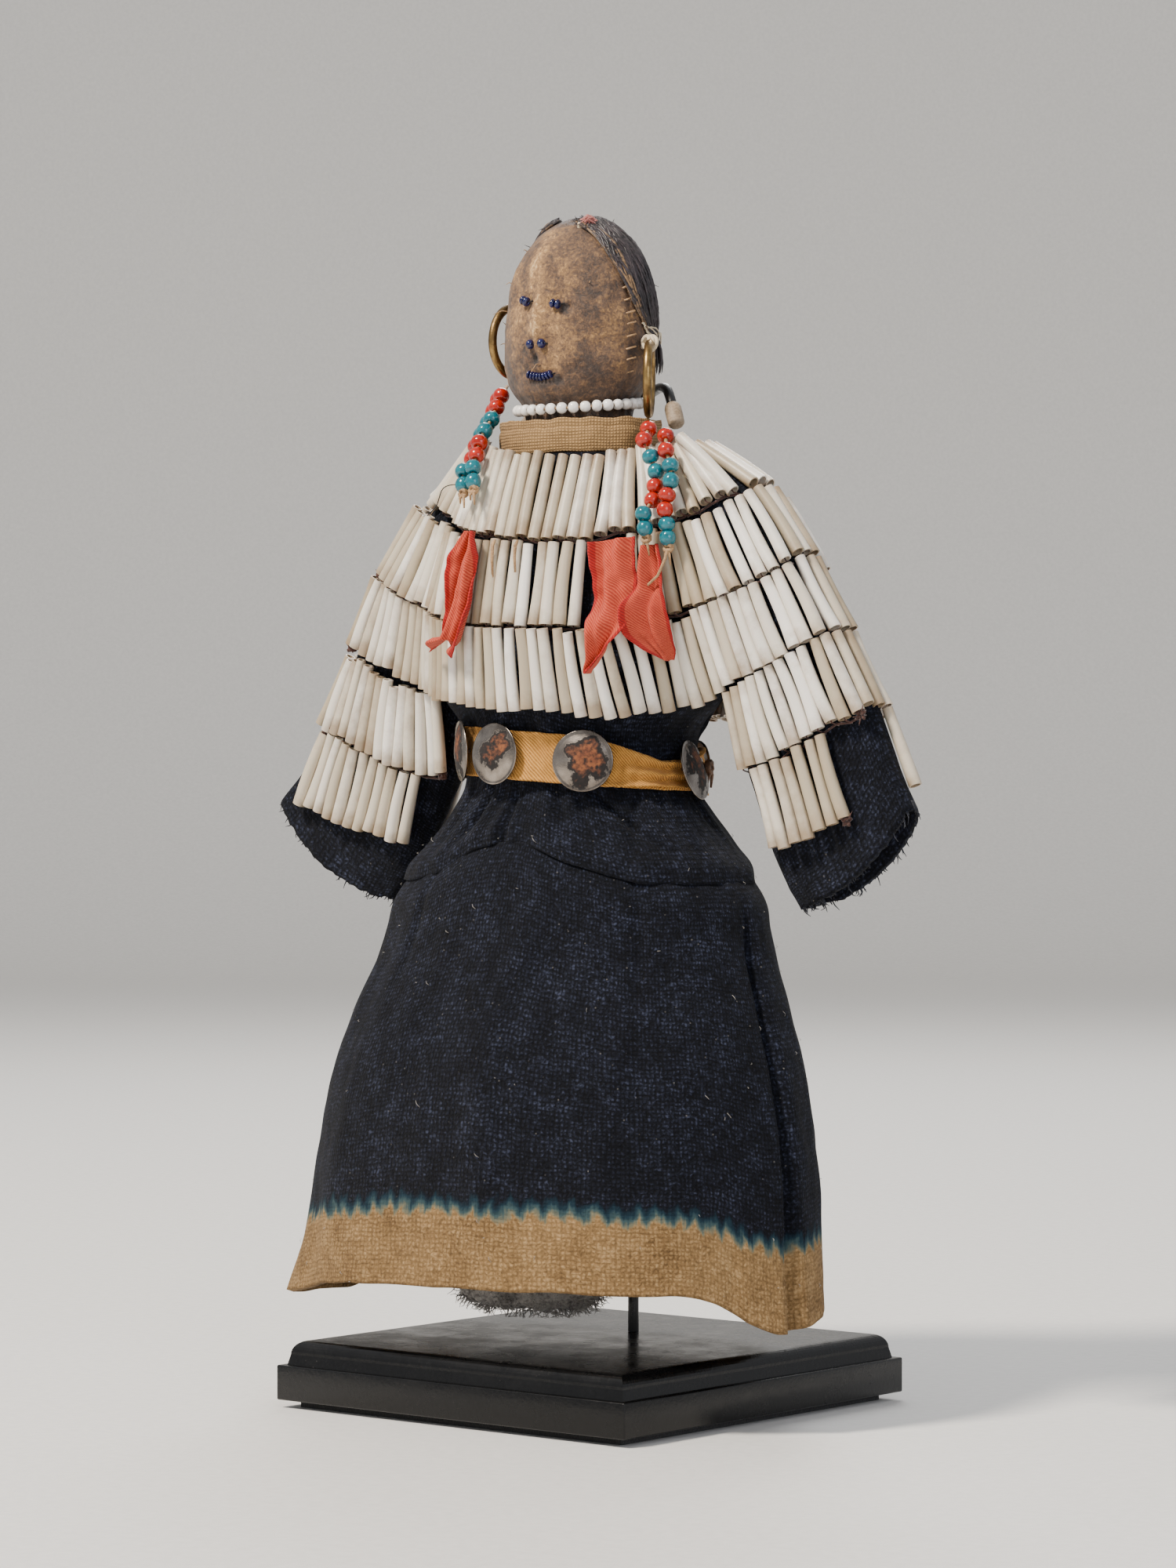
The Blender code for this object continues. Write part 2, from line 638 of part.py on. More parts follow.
def build_earrings():
    brass = new_material("worn_brass", (0.32, 0.2, 0.08), 0.35, 1.0)
    major = (RING_DIAMETER - RING_WIRE) / 2
    for name, centre, heading in (("earring_left", (24.0, -6.0, 258.9), 118.0),
                                  ("earring_right", (-22.6, -3.6, 271.0), 90.0)):
        bm = bmesh.new()
        loops = []
        for i in range(RING_STEPS):
            turn = 2 * math.pi * i / RING_STEPS
            loop = []
            middle = Vector(ring_point(centre, math.radians(heading), major, turn))
            outward = (middle - Vector(centre)).normalized()
            flat = Vector((-math.sin(math.radians(heading)), math.cos(math.radians(heading)), 0.0))
            for a in angles_round(6):
                out = (outward * math.cos(a) + flat * math.sin(a)) * RING_WIRE / 2
                loop.append(bm.verts.new(lift(middle + out)))
            loops.append(loop)
        for i, loop in enumerate(loops):
            bridge(bm, loop, loops[(i + 1) % len(loops)])
        add_object(name, bm, brass, smooth_angle=60.0)


def build_necklace():
    white = new_material("white_glass", (0.85, 0.83, 0.8), 0.25)
    count = 33
    path = []
    for a in angles_round(count):
        path.append((16.6 * math.cos(a), -5.0 + 14.2 * math.sin(a), 252.9 + 1.4 * math.sin(a)))
    add_object("necklace", bead_run(path, NECK_BEAD / 2, sides=4, closed=True), white)


# Dress

def garment_ring(z_of_angle, angles, spread=0.0, shape=None):
    ring = []
    for a in angles:
        z = z_of_angle(a)
        half_width, half_depth, centre = smooth_at(GARMENT, z)
        extra = spread + (shape(a, z) if shape else 0.0)
        ring.append(((half_width + extra) * math.cos(a), centre + (half_depth + extra) * math.sin(a), z))
    return ring


def around(table, a):
    return value_at(table, math.degrees(a))


def bodice_rings(spread, above=0.0):
    angles = skirt_angles()
    rings = [garment_ring(lambda a: around(HIP_SEAM, a) + GAP / 2, angles, spread)]
    for z in BODICE_LEVELS:
        rings.append(garment_ring(lambda a, z=z: z, angles, spread))
    if above:
        top = rings[-1]
        rings.append([(x, y, z + above) for x, y, z in top])
    return rings


def sleeve_ring(side, share, inset=0.0, slide=0.0):
    """A ring round a sleeve, share of the way to the cuff, slid on by slide along the sleeve."""
    outer_x, outer_z, inner_x, inner_z = smooth_at(SLEEVES[side], share)
    fold = Vector((outer_x - inner_x, outer_z - inner_z))
    along = Vector((fold.y, -fold.x)).normalized()
    along = along if along.y < 0 else -along
    bow = CUFF_BOW * share * share
    width = fold.length
    ring = []
    steps = 4
    for face in (-1.0, 1.0):
        shares = [0.5 - 0.5 * math.cos(math.pi * i / steps) for i in range(steps + 1)]
        for w in shares if face < 0 else reversed(shares):
            inner_share = (inset * 1.15 + w * (width - inset * 2.3)) / width
            x = inner_x + fold.x * inner_share + along.x * (bow * 4 * w * (1 - w) + slide)
            z = inner_z + fold.y * inner_share + along.y * (bow * 4 * w * (1 - w) + slide)
            depth = sleeve_half_depth(side, x - along.x * slide, z - along.y * slide) - inset
            depth = max(depth, SLEEVE_FOLD - inset)
            ring.append((x * SIDE_SIGN[side], SLEEVE_CENTRE + face * depth, z))
        edge = width if face < 0 else 0.0
        push = (SLEEVE_FOLD - inset) * 0.45 * (1 if face < 0 else -1)
        centre_share = (edge + push - inset * (1.15 if face < 0 else -1.15)) / width
        x = inner_x + fold.x * centre_share + along.x * slide
        z = inner_z + fold.y * centre_share + along.y * slide
        ring.append((x * SIDE_SIGN[side], SLEEVE_CENTRE, z))
    return ring


def build_dress_top(wool):
    dress = add_object("dress_top", tube(bodice_rings(0.0), bodice_rings(-CLOTH)), wool, smooth_angle=50.0)
    solids = []
    cutters = []
    for side in SLEEVES:
        rings = [sleeve_ring(side, share) for share in SLEEVE_SHARES]
        solids.append(add_object(f"sleeve_{side}_solid", loft(rings), wool, CUTTERS))
        inside = [sleeve_ring(side, share, CLOTH) for share in [0.06] + SLEEVE_SHARES[1:]]
        inside.append(sleeve_ring(side, 1.0, CLOTH, slide=TRIM))
        cutters.append(add_object(f"sleeve_{side}_cutter", loft(inside), wool, CUTTERS))
    core = bodice_rings(OVERCUT - CLOTH, above=TRIM)[-9:]
    cutters.append(add_object("bodice_cutter", loft(core), wool, CUTTERS))
    closed_by_boolean(dress, solids, "UNION")
    closed_by_boolean(dress, cutters, "DIFFERENCE")


def skirt_shape(a, z):
    """How far the skirt stands out from its plain outline: soft folds, a pleat and a flared corner."""
    degrees = math.degrees(a)
    low = min(1.0, max(0.0, (130.0 - z) / 100.0))
    folds = 0.9 * low * math.sin(a * 5 + 0.6) + 0.6 * low * math.sin(a * 9 + 2.0)
    pleat = -PLEAT_DEPTH * math.exp(-((degrees - PLEAT_ANGLE) / PLEAT_SPREAD) ** 2) * min(1.0, low * 5)
    drop = max(0.0, (62.0 - z) / 38.0) ** 2
    corner = CORNER_FLARE * math.exp(-((degrees - CORNER_ANGLE) / CORNER_SPREAD) ** 2) * drop
    return folds + pleat + corner


def skirt_angles():
    plain = [a for a in angles_round(24) if abs(math.degrees(a) - PLEAT_ANGLE) > 7.5]
    pleat = [math.radians(PLEAT_ANGLE + shift) for shift in (-6.0, -2.8, 0.0, 2.8, 6.0)]
    return sorted(plain + pleat)


def build_skirt(wool):
    angles = skirt_angles()
    shares = [0.0, 0.1, 0.25, 0.42, 0.6, 0.8, 1.0]
    outer, inner = [], []
    for share in shares:
        def level(a, share=share):
            top = around(HIP_SEAM, a) - GAP / 2
            return top + (around(HEM, a) - top) * share
        outer.append(garment_ring(level, angles, 0.0, skirt_shape))
        inner.append(garment_ring(level, angles, -SKIRT_CLOTH, skirt_shape))
    add_object("skirt", tube(outer, inner), wool, smooth_angle=60.0)


def build_wadding():
    fleece = new_material("grey_fleece", (0.25, 0.24, 0.23), 1.0)
    rows = [(22.4, 11.0, 9.0, -13.0, -8.0), (24.6, 17.5, 13.0, -13.0, -8.0), (30.0, 21.0, 17.0, -12.6, -8.4),
            (50.0, 26.0, 18.5, -9.0, -8.0), (80.0, 30.0, 19.0, -4.0, -6.5), (105.0, 29.0, 17.0, -1.0, -4.5),
            (122.0 - GAP, 26.0, 14.0, 0.0, -3.0)]
    rings = [ellipse_ring(z, width, depth, y, 16, x) for z, width, depth, x, y in rows]
    add_object("wool_wadding", loft(rings), fleece)


def build_collar():
    cotton = new_material("tan_cotton", (0.42, 0.26, 0.11), 0.85)
    levels = [BODICE_TOP + GAP, BODICE_TOP + GAP + COLLAR_HEIGHT]
    faces = []
    for inset in (0.0, COLLAR_CLOTH):
        half_width, half_depth = COLLAR_HALF_WIDTH - inset, COLLAR_HALF_DEPTH - inset
        faces.append([ellipse_ring(z, half_width, half_depth, COLLAR_CENTRE, 22) for z in levels])
    add_object("collar_band", tube(*faces), cotton)


def belt_level(a):
    """The belt's middle height, lower towards the figure's left and front."""
    x, y = 33.0 * math.cos(a), 24.3 * math.sin(a)
    return BELT_LEVEL - BELT_TILT * (0.77 * x + 0.64 * y)


def build_belt():
    twill = new_material("mustard_twill", (0.5, 0.29, 0.07), 0.85)
    angles = skirt_angles()
    outer, inner = [], []
    for share in (-0.5, 0.0, 0.5):
        def level(a, share=share):
            return belt_level(a) + share * BELT_WIDTH
        outer.append(garment_ring(level, angles, BELT_GAP + BELT_THICKNESS))
        inner.append(garment_ring(level, angles, BELT_GAP))
    add_object("belt", tube(outer, inner), twill)

    metal = new_material("rusted_tin", (0.28, 0.24, 0.21), 0.45, 1.0)
    for number, degrees in enumerate(DISC_ANGLES, start=1):
        a = math.radians(degrees)
        z = belt_level(a)
        half_width, half_depth, centre = smooth_at(GARMENT, z)
        stand_off = BELT_GAP + BELT_THICKNESS + DISC_STAND_OFF
        normal = Vector((math.cos(a) / half_width, math.sin(a) / half_depth, 0.0)).normalized()
        place = Vector((half_width * math.cos(a), centre + half_depth * math.sin(a), z)) + normal * stand_off
        bm = bmesh.new()
        turn = normal.to_track_quat("Z", "Y").to_matrix().to_4x4()
        bmesh.ops.create_cone(bm, cap_ends=True, segments=14, radius1=DISC_DIAMETER / 2 * MM,
                              radius2=(DISC_DIAMETER / 2 - 0.7) * MM, depth=DISC_THICKNESS * MM,
                              matrix=Matrix.Translation(lift(place)) @ turn)
        add_object(f"belt_disc_{number}", bm, metal)

    leather = new_material("brown_leather", (0.1, 0.055, 0.03), 0.7)
    a = math.radians(KNOT_ANGLE)
    z = belt_level(a) + 1.0
    half_width, half_depth, centre = smooth_at(GARMENT, z)
    out = BELT_GAP + BELT_THICKNESS + GAP + 1.6
    knot = bmesh.new()
    spot = ((half_width + out) * math.cos(a), centre + (half_depth + out) * math.sin(a), z)
    place = Matrix.Translation(lift(spot))
    bmesh.ops.create_uvsphere(knot, u_segments=8, v_segments=6, radius=1.3 * MM,
                              matrix=place @ Matrix.Diagonal((1.0, 1.0, 1.6, 1.0)))
    add_object("belt_knot", knot, leather)


# Shells

def shell_tilt(x, tilts):
    """How far a shell leans outwards at x, from the row's own list of x and lean."""
    return math.radians(value_at(tilts, x))


def clear_of_dress(top, bottom, face):
    """Y at a shell's two ends, so that the straight line between them clears the dress."""
    y_top = dress_surface(*top, face)
    y_bottom = dress_surface(*bottom, face)
    lift_off = 0.0
    for share in (0.0, 0.12, 0.3, 0.45, 0.6, 0.75, 0.9):
        x = top[0] + (bottom[0] - top[0]) * share
        z = top[1] + (bottom[1] - top[1]) * share
        chord = y_top + (y_bottom - y_top) * share
        for shift in (-1.2, 0.0, 1.2):
            rise = face * (dress_surface(x + shift, z, face) - chord)
            lift_off = max(lift_off, rise - abs(shift) * 0.35)
    return y_top + face * lift_off, y_bottom + face * lift_off


def row_height(lower_ends, x):
    return value_at(lower_ends, min(max(x, lower_ends[0][0]), lower_ends[-1][0]))


def shell_row(name, lower_ends, tilts, above, face, ivory):
    """A row of touching shells as one scalloped strip that follows the dress, below the row above."""
    samples = []
    for x, z in path_at(lower_ends, 61):
        samples.append((x, dress_surface(x, z, face), z))
    reach = np.concatenate([[0.0], np.cumsum(np.linalg.norm(np.diff(np.array(samples), axis=0), axis=1))])
    count = max(2, round(reach[-1] / SHELL_PITCH))
    xs = [point[0] for point in samples]
    zs = [point[2] for point in samples]

    def ends(share):
        x = float(np.interp(share * reach[-1], reach, xs))
        z = float(np.interp(share * reach[-1], reach, zs))
        tilt = shell_tilt(x, tilts)
        length = SHELL_LENGTH
        for _ in range(3):
            top = (x - length * math.sin(tilt), z + length * math.cos(tilt))
            over = top[1] - (row_height(above, top[0]) - ROW_GAP) if above else 0.0
            length -= max(0.0, over) / math.cos(tilt)
        return (x - length * math.sin(tilt), z + length * math.cos(tilt)), (x, z)

    bm = bmesh.new()
    back_top, back_bottom, front_top, front_bottom = [], [], [], []

    def add(share, height, top_list, bottom_list):
        top, bottom = ends(share)
        y_top, y_bottom = clear_of_dress(top, bottom, face)
        out = face * (SHELL_GAP + height)
        top_list.append(bm.verts.new(lift((top[0], y_top + out, top[1]))))
        bottom_list.append(bm.verts.new(lift((bottom[0], y_bottom + out, bottom[1]))))

    valley = SHELL_DIAMETER * 0.35
    for i in range(count + 1):
        add(i / count, 0.0, back_top, back_bottom)
        add(i / count, valley, front_top, front_bottom)
        if i < count:
            add((i + 0.5) / count, SHELL_DIAMETER, front_top, front_bottom)
    bridge(bm, back_top, back_bottom, closed=False)
    bridge(bm, front_top, front_bottom, closed=False)
    for back, front in ((back_top, front_top), (back_bottom, front_bottom)):
        for i in range(count):
            bm.faces.new((back[i], front[2 * i], front[2 * i + 1], front[2 * i + 2], back[i + 1]))
    for end in (0, -1):
        bm.faces.new((back_top[end], back_bottom[end], front_bottom[end], front_top[end]))
    add_object(name, bm, ivory, smooth_angle=50.0)


def build_shells():
    ivory = new_material("ivory_shell", (0.68, 0.62, 0.52), 0.35)
    for face, word in ((-1.0, "front"), (1.0, "back")):
        for number, lower_ends in YOKE_ROWS.items():
            above = YOKE_ROWS.get(number - 1)
            shell_row(f"shell_row_{number}_{word}", lower_ends, YOKE_TILTS[number], above, face, ivory)
        for (side, number), lower_ends in SLEEVE_ROWS.items():
            above = YOKE_ROWS[3] if number == 4 else SLEEVE_ROWS[(side, 4)]
            tilts = SLEEVE_TILTS[(side, number)]
            shell_row(f"shell_row_{number}_{side}_{word}", lower_ends, tilts, above, face, ivory)


# Beads and ribbons on the chest

def row_cover(x, z):
    """Y of the underside of the front shells at a point, from the row that covers it."""
    number = 3 if z < row_height(YOKE_ROWS[2], x) else 2 if z < row_height(YOKE_ROWS[1], x) else 1
    low = row_height(YOKE_ROWS[number], x)
    tilt = shell_tilt(x, YOKE_TILTS[number])
    top = (x - SHELL_LENGTH * math.sin(tilt), low + SHELL_LENGTH * math.cos(tilt))
    y_top, y_bottom = clear_of_dress(top, (x, low), -1.0)
    share = min(1.0, max(0.0, (z - low) / SHELL_LENGTH))
    return y_bottom + (y_top - y_bottom) * share


def on_shells(x, z, out):
    """Y of something that lies on the front shells, out from them."""
    surface = min(row_cover(x + shift, z + rise) for shift in (-2.5, 0.0, 2.5) for rise in (-2.5, 2.5))
    return surface - SHELL_GAP - SHELL_DIAMETER - out


def build_strings():
    red = new_material("red_and_teal_glass", (0.6, 0.06, 0.03), 0.2)
    radius = STRING_BEAD / 2
    for name, places in STRINGS.items():
        path = []
        for x, y, z in places:
            depth = on_shells(x, z, radius + GAP * 2) if y is None else y
            path.append((x, depth, z))
        add_object(name, bead_run(path, radius), red)


def build_ribbons():
    silk = new_material("coral_silk", (0.62, 0.13, 0.07), 0.6)
    for name, levels in RIBBONS.items():
        rings = []
        for left, right in levels:
            ring = []
            for out in (GAP * 2, GAP * 2 + RIBBON_THICKNESS):
                corners = [(x, on_shells(x, z, out), z) for x, z in (left, right)]
                ring += corners if out == GAP * 2 else reversed(corners)
            rings.append(ring)
        add_object(name, loft(rings), silk)


def clear_scene():
    for old in list(bpy.data.objects):
        bpy.data.objects.remove(old, do_unlink=True)


clear_scene()
PARTS = bpy.data.collections.new("hide_doll_on_stand")
CUTTERS = bpy.data.collections.new("cutters")
bpy.context.scene.collection.children.link(PARTS)
bpy.context.scene.collection.children.link(CUTTERS)

build_plinth()
build_stand_metal()
build_figure()
build_hair()
build_face()
build_earrings()
build_necklace()
navy_wool = new_material("navy_wool", (0.008, 0.01, 0.02), 0.95)
build_dress_top(navy_wool)
build_skirt(navy_wool)
build_wadding()
build_collar()
build_belt()
build_shells()
build_strings()
build_ribbons()
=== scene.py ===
"""Looks for a stuffed hide doll in a shell-sewn wool dress, held by a neck rod on a moulded base.

The doll faces -Y and its own left is at +X. Sizes are in millimetres, and the doll's own heights
start RISE above the table. MM turns them into metres.
"""
import math
import random
from functools import partial
from math import cos, radians, sin

import bmesh
import bpy
import numpy as np
from mathutils import Matrix, Vector, noise


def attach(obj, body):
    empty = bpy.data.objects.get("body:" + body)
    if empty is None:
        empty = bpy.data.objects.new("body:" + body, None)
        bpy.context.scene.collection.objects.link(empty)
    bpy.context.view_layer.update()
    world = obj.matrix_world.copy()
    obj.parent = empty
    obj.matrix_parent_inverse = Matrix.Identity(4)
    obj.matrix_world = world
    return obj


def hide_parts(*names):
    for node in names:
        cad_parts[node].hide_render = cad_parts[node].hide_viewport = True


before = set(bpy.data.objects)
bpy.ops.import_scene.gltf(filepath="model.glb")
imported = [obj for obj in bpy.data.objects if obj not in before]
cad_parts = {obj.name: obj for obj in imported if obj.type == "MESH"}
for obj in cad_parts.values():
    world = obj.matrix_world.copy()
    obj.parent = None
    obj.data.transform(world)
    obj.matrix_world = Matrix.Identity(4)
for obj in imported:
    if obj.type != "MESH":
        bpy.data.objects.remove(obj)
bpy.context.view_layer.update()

MM = 0.001
RISE = 2
TAU = 2 * math.pi
UP = Vector((0, 0, 1))

# Stand
PLINTH_HALF = 57
PLINTH_FOOT = 2
BAND_TOP = 10.9
COVE_TOP = 13.5
PLINTH_TOP = 17
STEP_INSET = 2.6
TOP_INSET = 6
ROD_RADIUS = 1.4
FORK_RADIUS = 1.3

# Cloth thicknesses
WOOL = 1.7
SKIRT_WOOL = 2
CANVAS = 1.2
TWILL = 1.4
SILK = 0.45

# Trimmings
SHELL_LENGTH = 21.4
SHELL_RADIUS = 1.74
SHELL_PITCH = 3.75
SHELL_GAP = 0.7
ROW_GAP = 0.5
DISC_RADIUS = 7.8
STRING_BEAD = 2.1
NECK_BEAD = 1.47
NECKLACE_HALF_WIDTH, NECKLACE_HALF_DEPTH, NECKLACE_LEVEL = 16.6, 14.2, 252.9
COLLAR_HALF_WIDTH, COLLAR_HALF_DEPTH, COLLAR_HEIGHT = 22.6, 16.4, 8.6
RING_RADIUS = 8.85
WIRE_RADIUS = 1.12

# Dress and skirt: height, half width, half depth, centre in Y
GARMENT = [
    (15, 77.5, 45, -12.3), (36, 76, 44, -12.3), (61, 74.5, 43, -12),
    (84.4, 70.5, 40.5, -11), (97.4, 66, 38, -9.4), (111.5, 60, 34.5, -7),
    (130, 53.5, 31, -5.5), (140, 46.5, 28.5, -4.8), (150, 37, 25.6, -4),
    (156, 32.6, 24.2, -3.8), (163, 31.8, 23.8, -3.8), (172, 33, 25.2, -3.6),
    (177, 38.4, 28.2, -3.4), (183, 42, 30.2, -3.2), (196, 41.5, 29.6, -3.2),
    (207, 39.5, 28, -3.4), (218, 36.5, 25.4, -3.8), (229, 31, 21.6, -4.2),
    (240, 24.2, 17.9, -4.6),
]
NECK_LEVEL = 240

# Hide head and body: height, half width, half depth, centre in Y
FIGURE = [
    (122, 28, 14, -3), (150, 27, 16, -2.8), (175, 28, 15, -4.5),
    (200, 29, 14.2, -6.2), (225, 25, 13.2, -6.4), (236, 17.5, 12.6, -6),
    (243, 14.8, 11.9, -5.2), (253, 14.2, 11.9, -5), (256.5, 15.8, 13.2, -4.8),
    (260, 18.8, 15.4, -4.4), (264, 20.4, 16.6, -4.2), (270, 20.4, 16.8, -4),
    (280, 19.4, 16.3, -3.9), (290, 16.2, 13.9, -3.6), (296.5, 11.4, 10, -3.2),
    (300.3, 5.6, 5, -3), (301.6, 1.6, 1.5, -3),
]
HEAD_SHIFT = -0.8

# Sleeves: share of the way to the cuff, then x and height of the outer fold and of the inner fold
SLEEVES = {
    1: [(0.00, 25.6, 244, 25.6, 200), (0.16, 44, 238, 40, 186), (0.32, 59, 227.5, 52.5, 173),
        (0.48, 70, 212, 55.5, 160), (0.64, 80.5, 194.5, 59.5, 148.5), (0.80, 91.5, 175, 63.5, 139.5),
        (0.92, 97.8, 160.5, 68, 131), (1.00, 103.2, 150.2, 71.5, 126.5)],
    -1: [(0.00, 25.6, 243, 25.6, 200), (0.16, 42, 233.5, 33, 186), (0.32, 55, 219.5, 37.5, 174),
         (0.48, 65.5, 206, 42, 161), (0.64, 75, 190.5, 47.5, 150), (0.80, 85.5, 172.5, 54, 139.5),
         (0.92, 94.5, 160.5, 60, 131.5), (1.00, 103, 152, 64, 126.5)],
}
SLEEVE_DEPTHS = [(0, 8), (0.14, 11.6), (0.3, 11.2), (0.6, 7.4), (1, 4.6)]
SLEEVE_FOLD = 2.3
SLEEVE_CENTRE = -3.6
CUFF_BOW = 4.6

# Seam between bodice and skirt, and hem: angle round from +X towards +Y in degrees, then height
HIP_SEAM = [(-180, 133), (-121, 134.5), (-105, 140.5), (-88, 142.5), (-65, 137),
            (-40, 132.5), (-13, 132.5), (60, 133), (180, 133)]
HEM = [(-180, 24), (-155, 24.8), (-130, 29.5), (-111, 31.4), (-80, 32.6), (-42, 33),
       (-30, 31.6), (-18, 26), (-9, 23.2), (2, 24.6), (20, 27), (90, 28), (180, 24)]
CORNER_ANGLE, CORNER_FLARE, CORNER_SPREAD = -155, 7, 13
PLEAT_ANGLE, PLEAT_DEPTH, PLEAT_SPREAD = -4, 3.4, 2.2

# Shell rows: lower ends as x and height, then the lean of the shells in degrees as x and lean
YOKE_ROWS = {
    1: [(-46, 230), (-37, 227.6), (-27, 223.6), (-6, 219.2), (9.5, 217.8), (22, 218),
        (33, 220.6), (41, 223.4), (49, 225.6), (56, 229.6)],
    2: [(-62, 211.6), (-44, 203.9), (-14.4, 197.4), (7.7, 195.9), (24, 195.8), (41, 198.8),
        (52.5, 202.1), (62.5, 205.9), (74, 212.4)],
    3: [(-73.5, 194.6), (-57.3, 187.1), (-41.6, 181.2), (-18, 177), (11, 174.4), (24, 173.4),
        (34, 173.8), (45, 176), (56, 180.8), (70.6, 187.6), (83, 194)],
}
YOKE_LEANS = {
    1: [(-46, -47), (-34, -28), (-20, -9), (0, 0), (20, 5), (34, 22), (56, 50)],
    2: [(-62, -38), (-44, -20), (-22, -4), (0, 0), (24, 2), (44, 16), (60, 28),
        (74, 35)],
    3: [(-73.5, -30), (-50, -14), (-30, -4), (0, 0), (36, 3), (54, 14), (83, 29)],
}
SLEEVE_ROWS = {
    ("left", 4): [(55.5, 159.6), (69.3, 163.6), (81, 169.8), (93.6, 174.9)],
    ("left", 5): [(64.7, 139.9), (77.9, 143.8), (90.1, 149.3)],
    ("right", 4): [(-83.5, 171.9), (-68, 166), (-52, 160.2), (-40.5, 159.4)],
    ("right", 5): [(-94.2, 152.3), (-77.6, 146.4), (-59.8, 142.2), (-54, 141.2)],
}
SLEEVE_LEANS = {
    ("left", 4): [(55, 6), (70, 18), (93, 27)],
    ("left", 5): [(64, 16), (90, 18)],
    ("right", 4): [(-83.5, -28), (-64, -16), (-41, -3)],
    ("right", 5): [(-94, -28), (-80, -22), (-55, -20)],
}
# Shells lost from a front row: row number and x of the bare place
LOST_SHELLS = [(2, 22.4)]

BELT_LEVEL, BELT_TILT, BELT_WIDTH, BELT_GAP = 162.6, 0.09, 12.4, 0.7
DISC_ANGLES = [-126, -99, -56, 0.5, 60, 108, 165]
DISC_STAND_OFF = 4.7
KNOT_ANGLE = 20

CAMERA_TURN = 39.51

# Strings of beads: x, Y where it hangs free or None where it lies on the shells, and height
STRINGS = {
    "bead_string_right_front": [(-24.5, -7, 257), (-23.5, -10, 253.8), (-21.8, -14, 250.4),
                                (-19.5, -19.4, 247), (-17.5, -23.8, 243.6), (-15.8, -26.8, 240.2),
                                (-14.2, None, 236.8), (-13, None, 233.2)],
    "bead_string_right_back": [(-28.1, -4.1, 256.3), (-27.1, -7.1, 253.1), (-25.4, -11.2, 249.7),
                               (-23.1, -16.5, 246.3), (-21.1, -20.9, 242.9), (-19.6, -24.2, 239.5),
                               (-18.2, None, 236.1), (-17, None, 232.5)],
    "bead_string_left_front": [(29.4, -13.4, 245.4), (32.4, -19, 242.2), (34.4, None, 238),
                               (36, None, 234.2), (36.6, None, 230.5), (36.5, None, 227),
                               (37.1, None, 223.4), (37.5, None, 219.8)],
    "bead_string_left_back": [(34.6, -13, 243.4), (38.2, None, 239.4), (40.6, None, 235.5),
                              (41.8, None, 231.6), (41.6, None, 228), (41.6, None, 224.4),
                              (42.2, None, 220.8), (42.5, None, 217.4)],
}

# Ribbons: left edge and right edge at each level, as x and height
RIBBONS = {
    "ribbon_right": [
        ((-12.2, 220.4), (-8.5, 220.2)), ((-14, 216.1), (-7.2, 215.9)), ((-15.1, 211.8), (-6.7, 212.9)),
        ((-15.1, 207.2), (-7.5, 208)), ((-15.9, 201.3), (-8, 201.1)), ((-16.6, 196.3), (-8.5, 195.2)),
        ((-18.2, 192.4), (-10.1, 191.1)), ((-21.1, 190.1), (-12.2, 188.3)),
    ],
    "ribbon_left_front": [
        ((26.9, 216.4), (36.2, 217.8)), ((27.3, 211.1), (36.1, 211)), ((28.1, 205.3), (36.7, 206.2)),
        ((28.7, 200.4), (37.4, 200.3)), ((29.1, 196.1), (38.1, 195.7)), ((29.3, 191.7), (35.7, 191.2)),
        ((29.1, 188.2), (32.7, 187.6)), ((28.1, 184.3), (28.6, 183.9)),
    ],
    "ribbon_left_back": [
        ((36.4, 215.5), (39.7, 216)), ((36.7, 211), (41.2, 211.4)), ((37.1, 205.2), (42.5, 206.1)),
        ((37.2, 199.4), (43.5, 199.3)), ((37.6, 194.3), (43.7, 194.7)), ((39.7, 190.4), (43.7, 191.2)),
        ((42.5, 187.1), (43.2, 187.3)),
    ],
}


def smooth_curve(rows):
    """A function of t that runs smoothly through the rows of a table whose first column is t."""
    rows = np.array(rows, dtype=float)
    xs, ys = rows[:, 0], rows[:, 1:]
    steps = np.diff(xs)
    chords = np.diff(ys, axis=0) / steps[:, None]
    slopes = np.vstack([chords[:1], (chords[:-1] + chords[1:]) / 2, chords[-1:]])
    slopes[1:-1][chords[:-1] * chords[1:] <= 0] = 0

    def at(t):
        t = np.clip(np.asarray(t, dtype=float), xs[0], xs[-1])
        i = np.clip(np.searchsorted(xs, t, side="right") - 1, 0, len(xs) - 2)
        h = steps[i][..., None]
        k = ((t - xs[i]) / steps[i])[..., None]
        start = ys[i] * (1 + 2 * k) * (1 - k) ** 2 + slopes[i] * h * k * (1 - k) ** 2
        return start + ys[i + 1] * k * k * (3 - 2 * k) + slopes[i + 1] * h * k * k * (k - 1)
    return at


garment = smooth_curve(GARMENT)
figure = smooth_curve(FIGURE)
hip_seam = smooth_curve(HIP_SEAM)
hem_height = smooth_curve(HEM)
sleeve_depths = smooth_curve(SLEEVE_DEPTHS)
sleeve_at = {side: smooth_curve(rows) for side, rows in SLEEVES.items()}
sleeve_folds = {side: (np.array(rows)[:, 1:3], np.array(rows)[:, 3:5]) for side, rows in SLEEVES.items()}


def path_at(points, count):
    """Points spaced evenly along a smooth curve through a list of points."""
    points = np.array(points, dtype=float)
    reach = np.concatenate([[0], np.cumsum(np.linalg.norm(np.diff(points, axis=0), axis=1))])
    return smooth_curve(np.column_stack([reach, points]))(np.linspace(0, reach[-1], count))


def bell(distance, width):
    return np.exp(-(distance / width) ** 2)


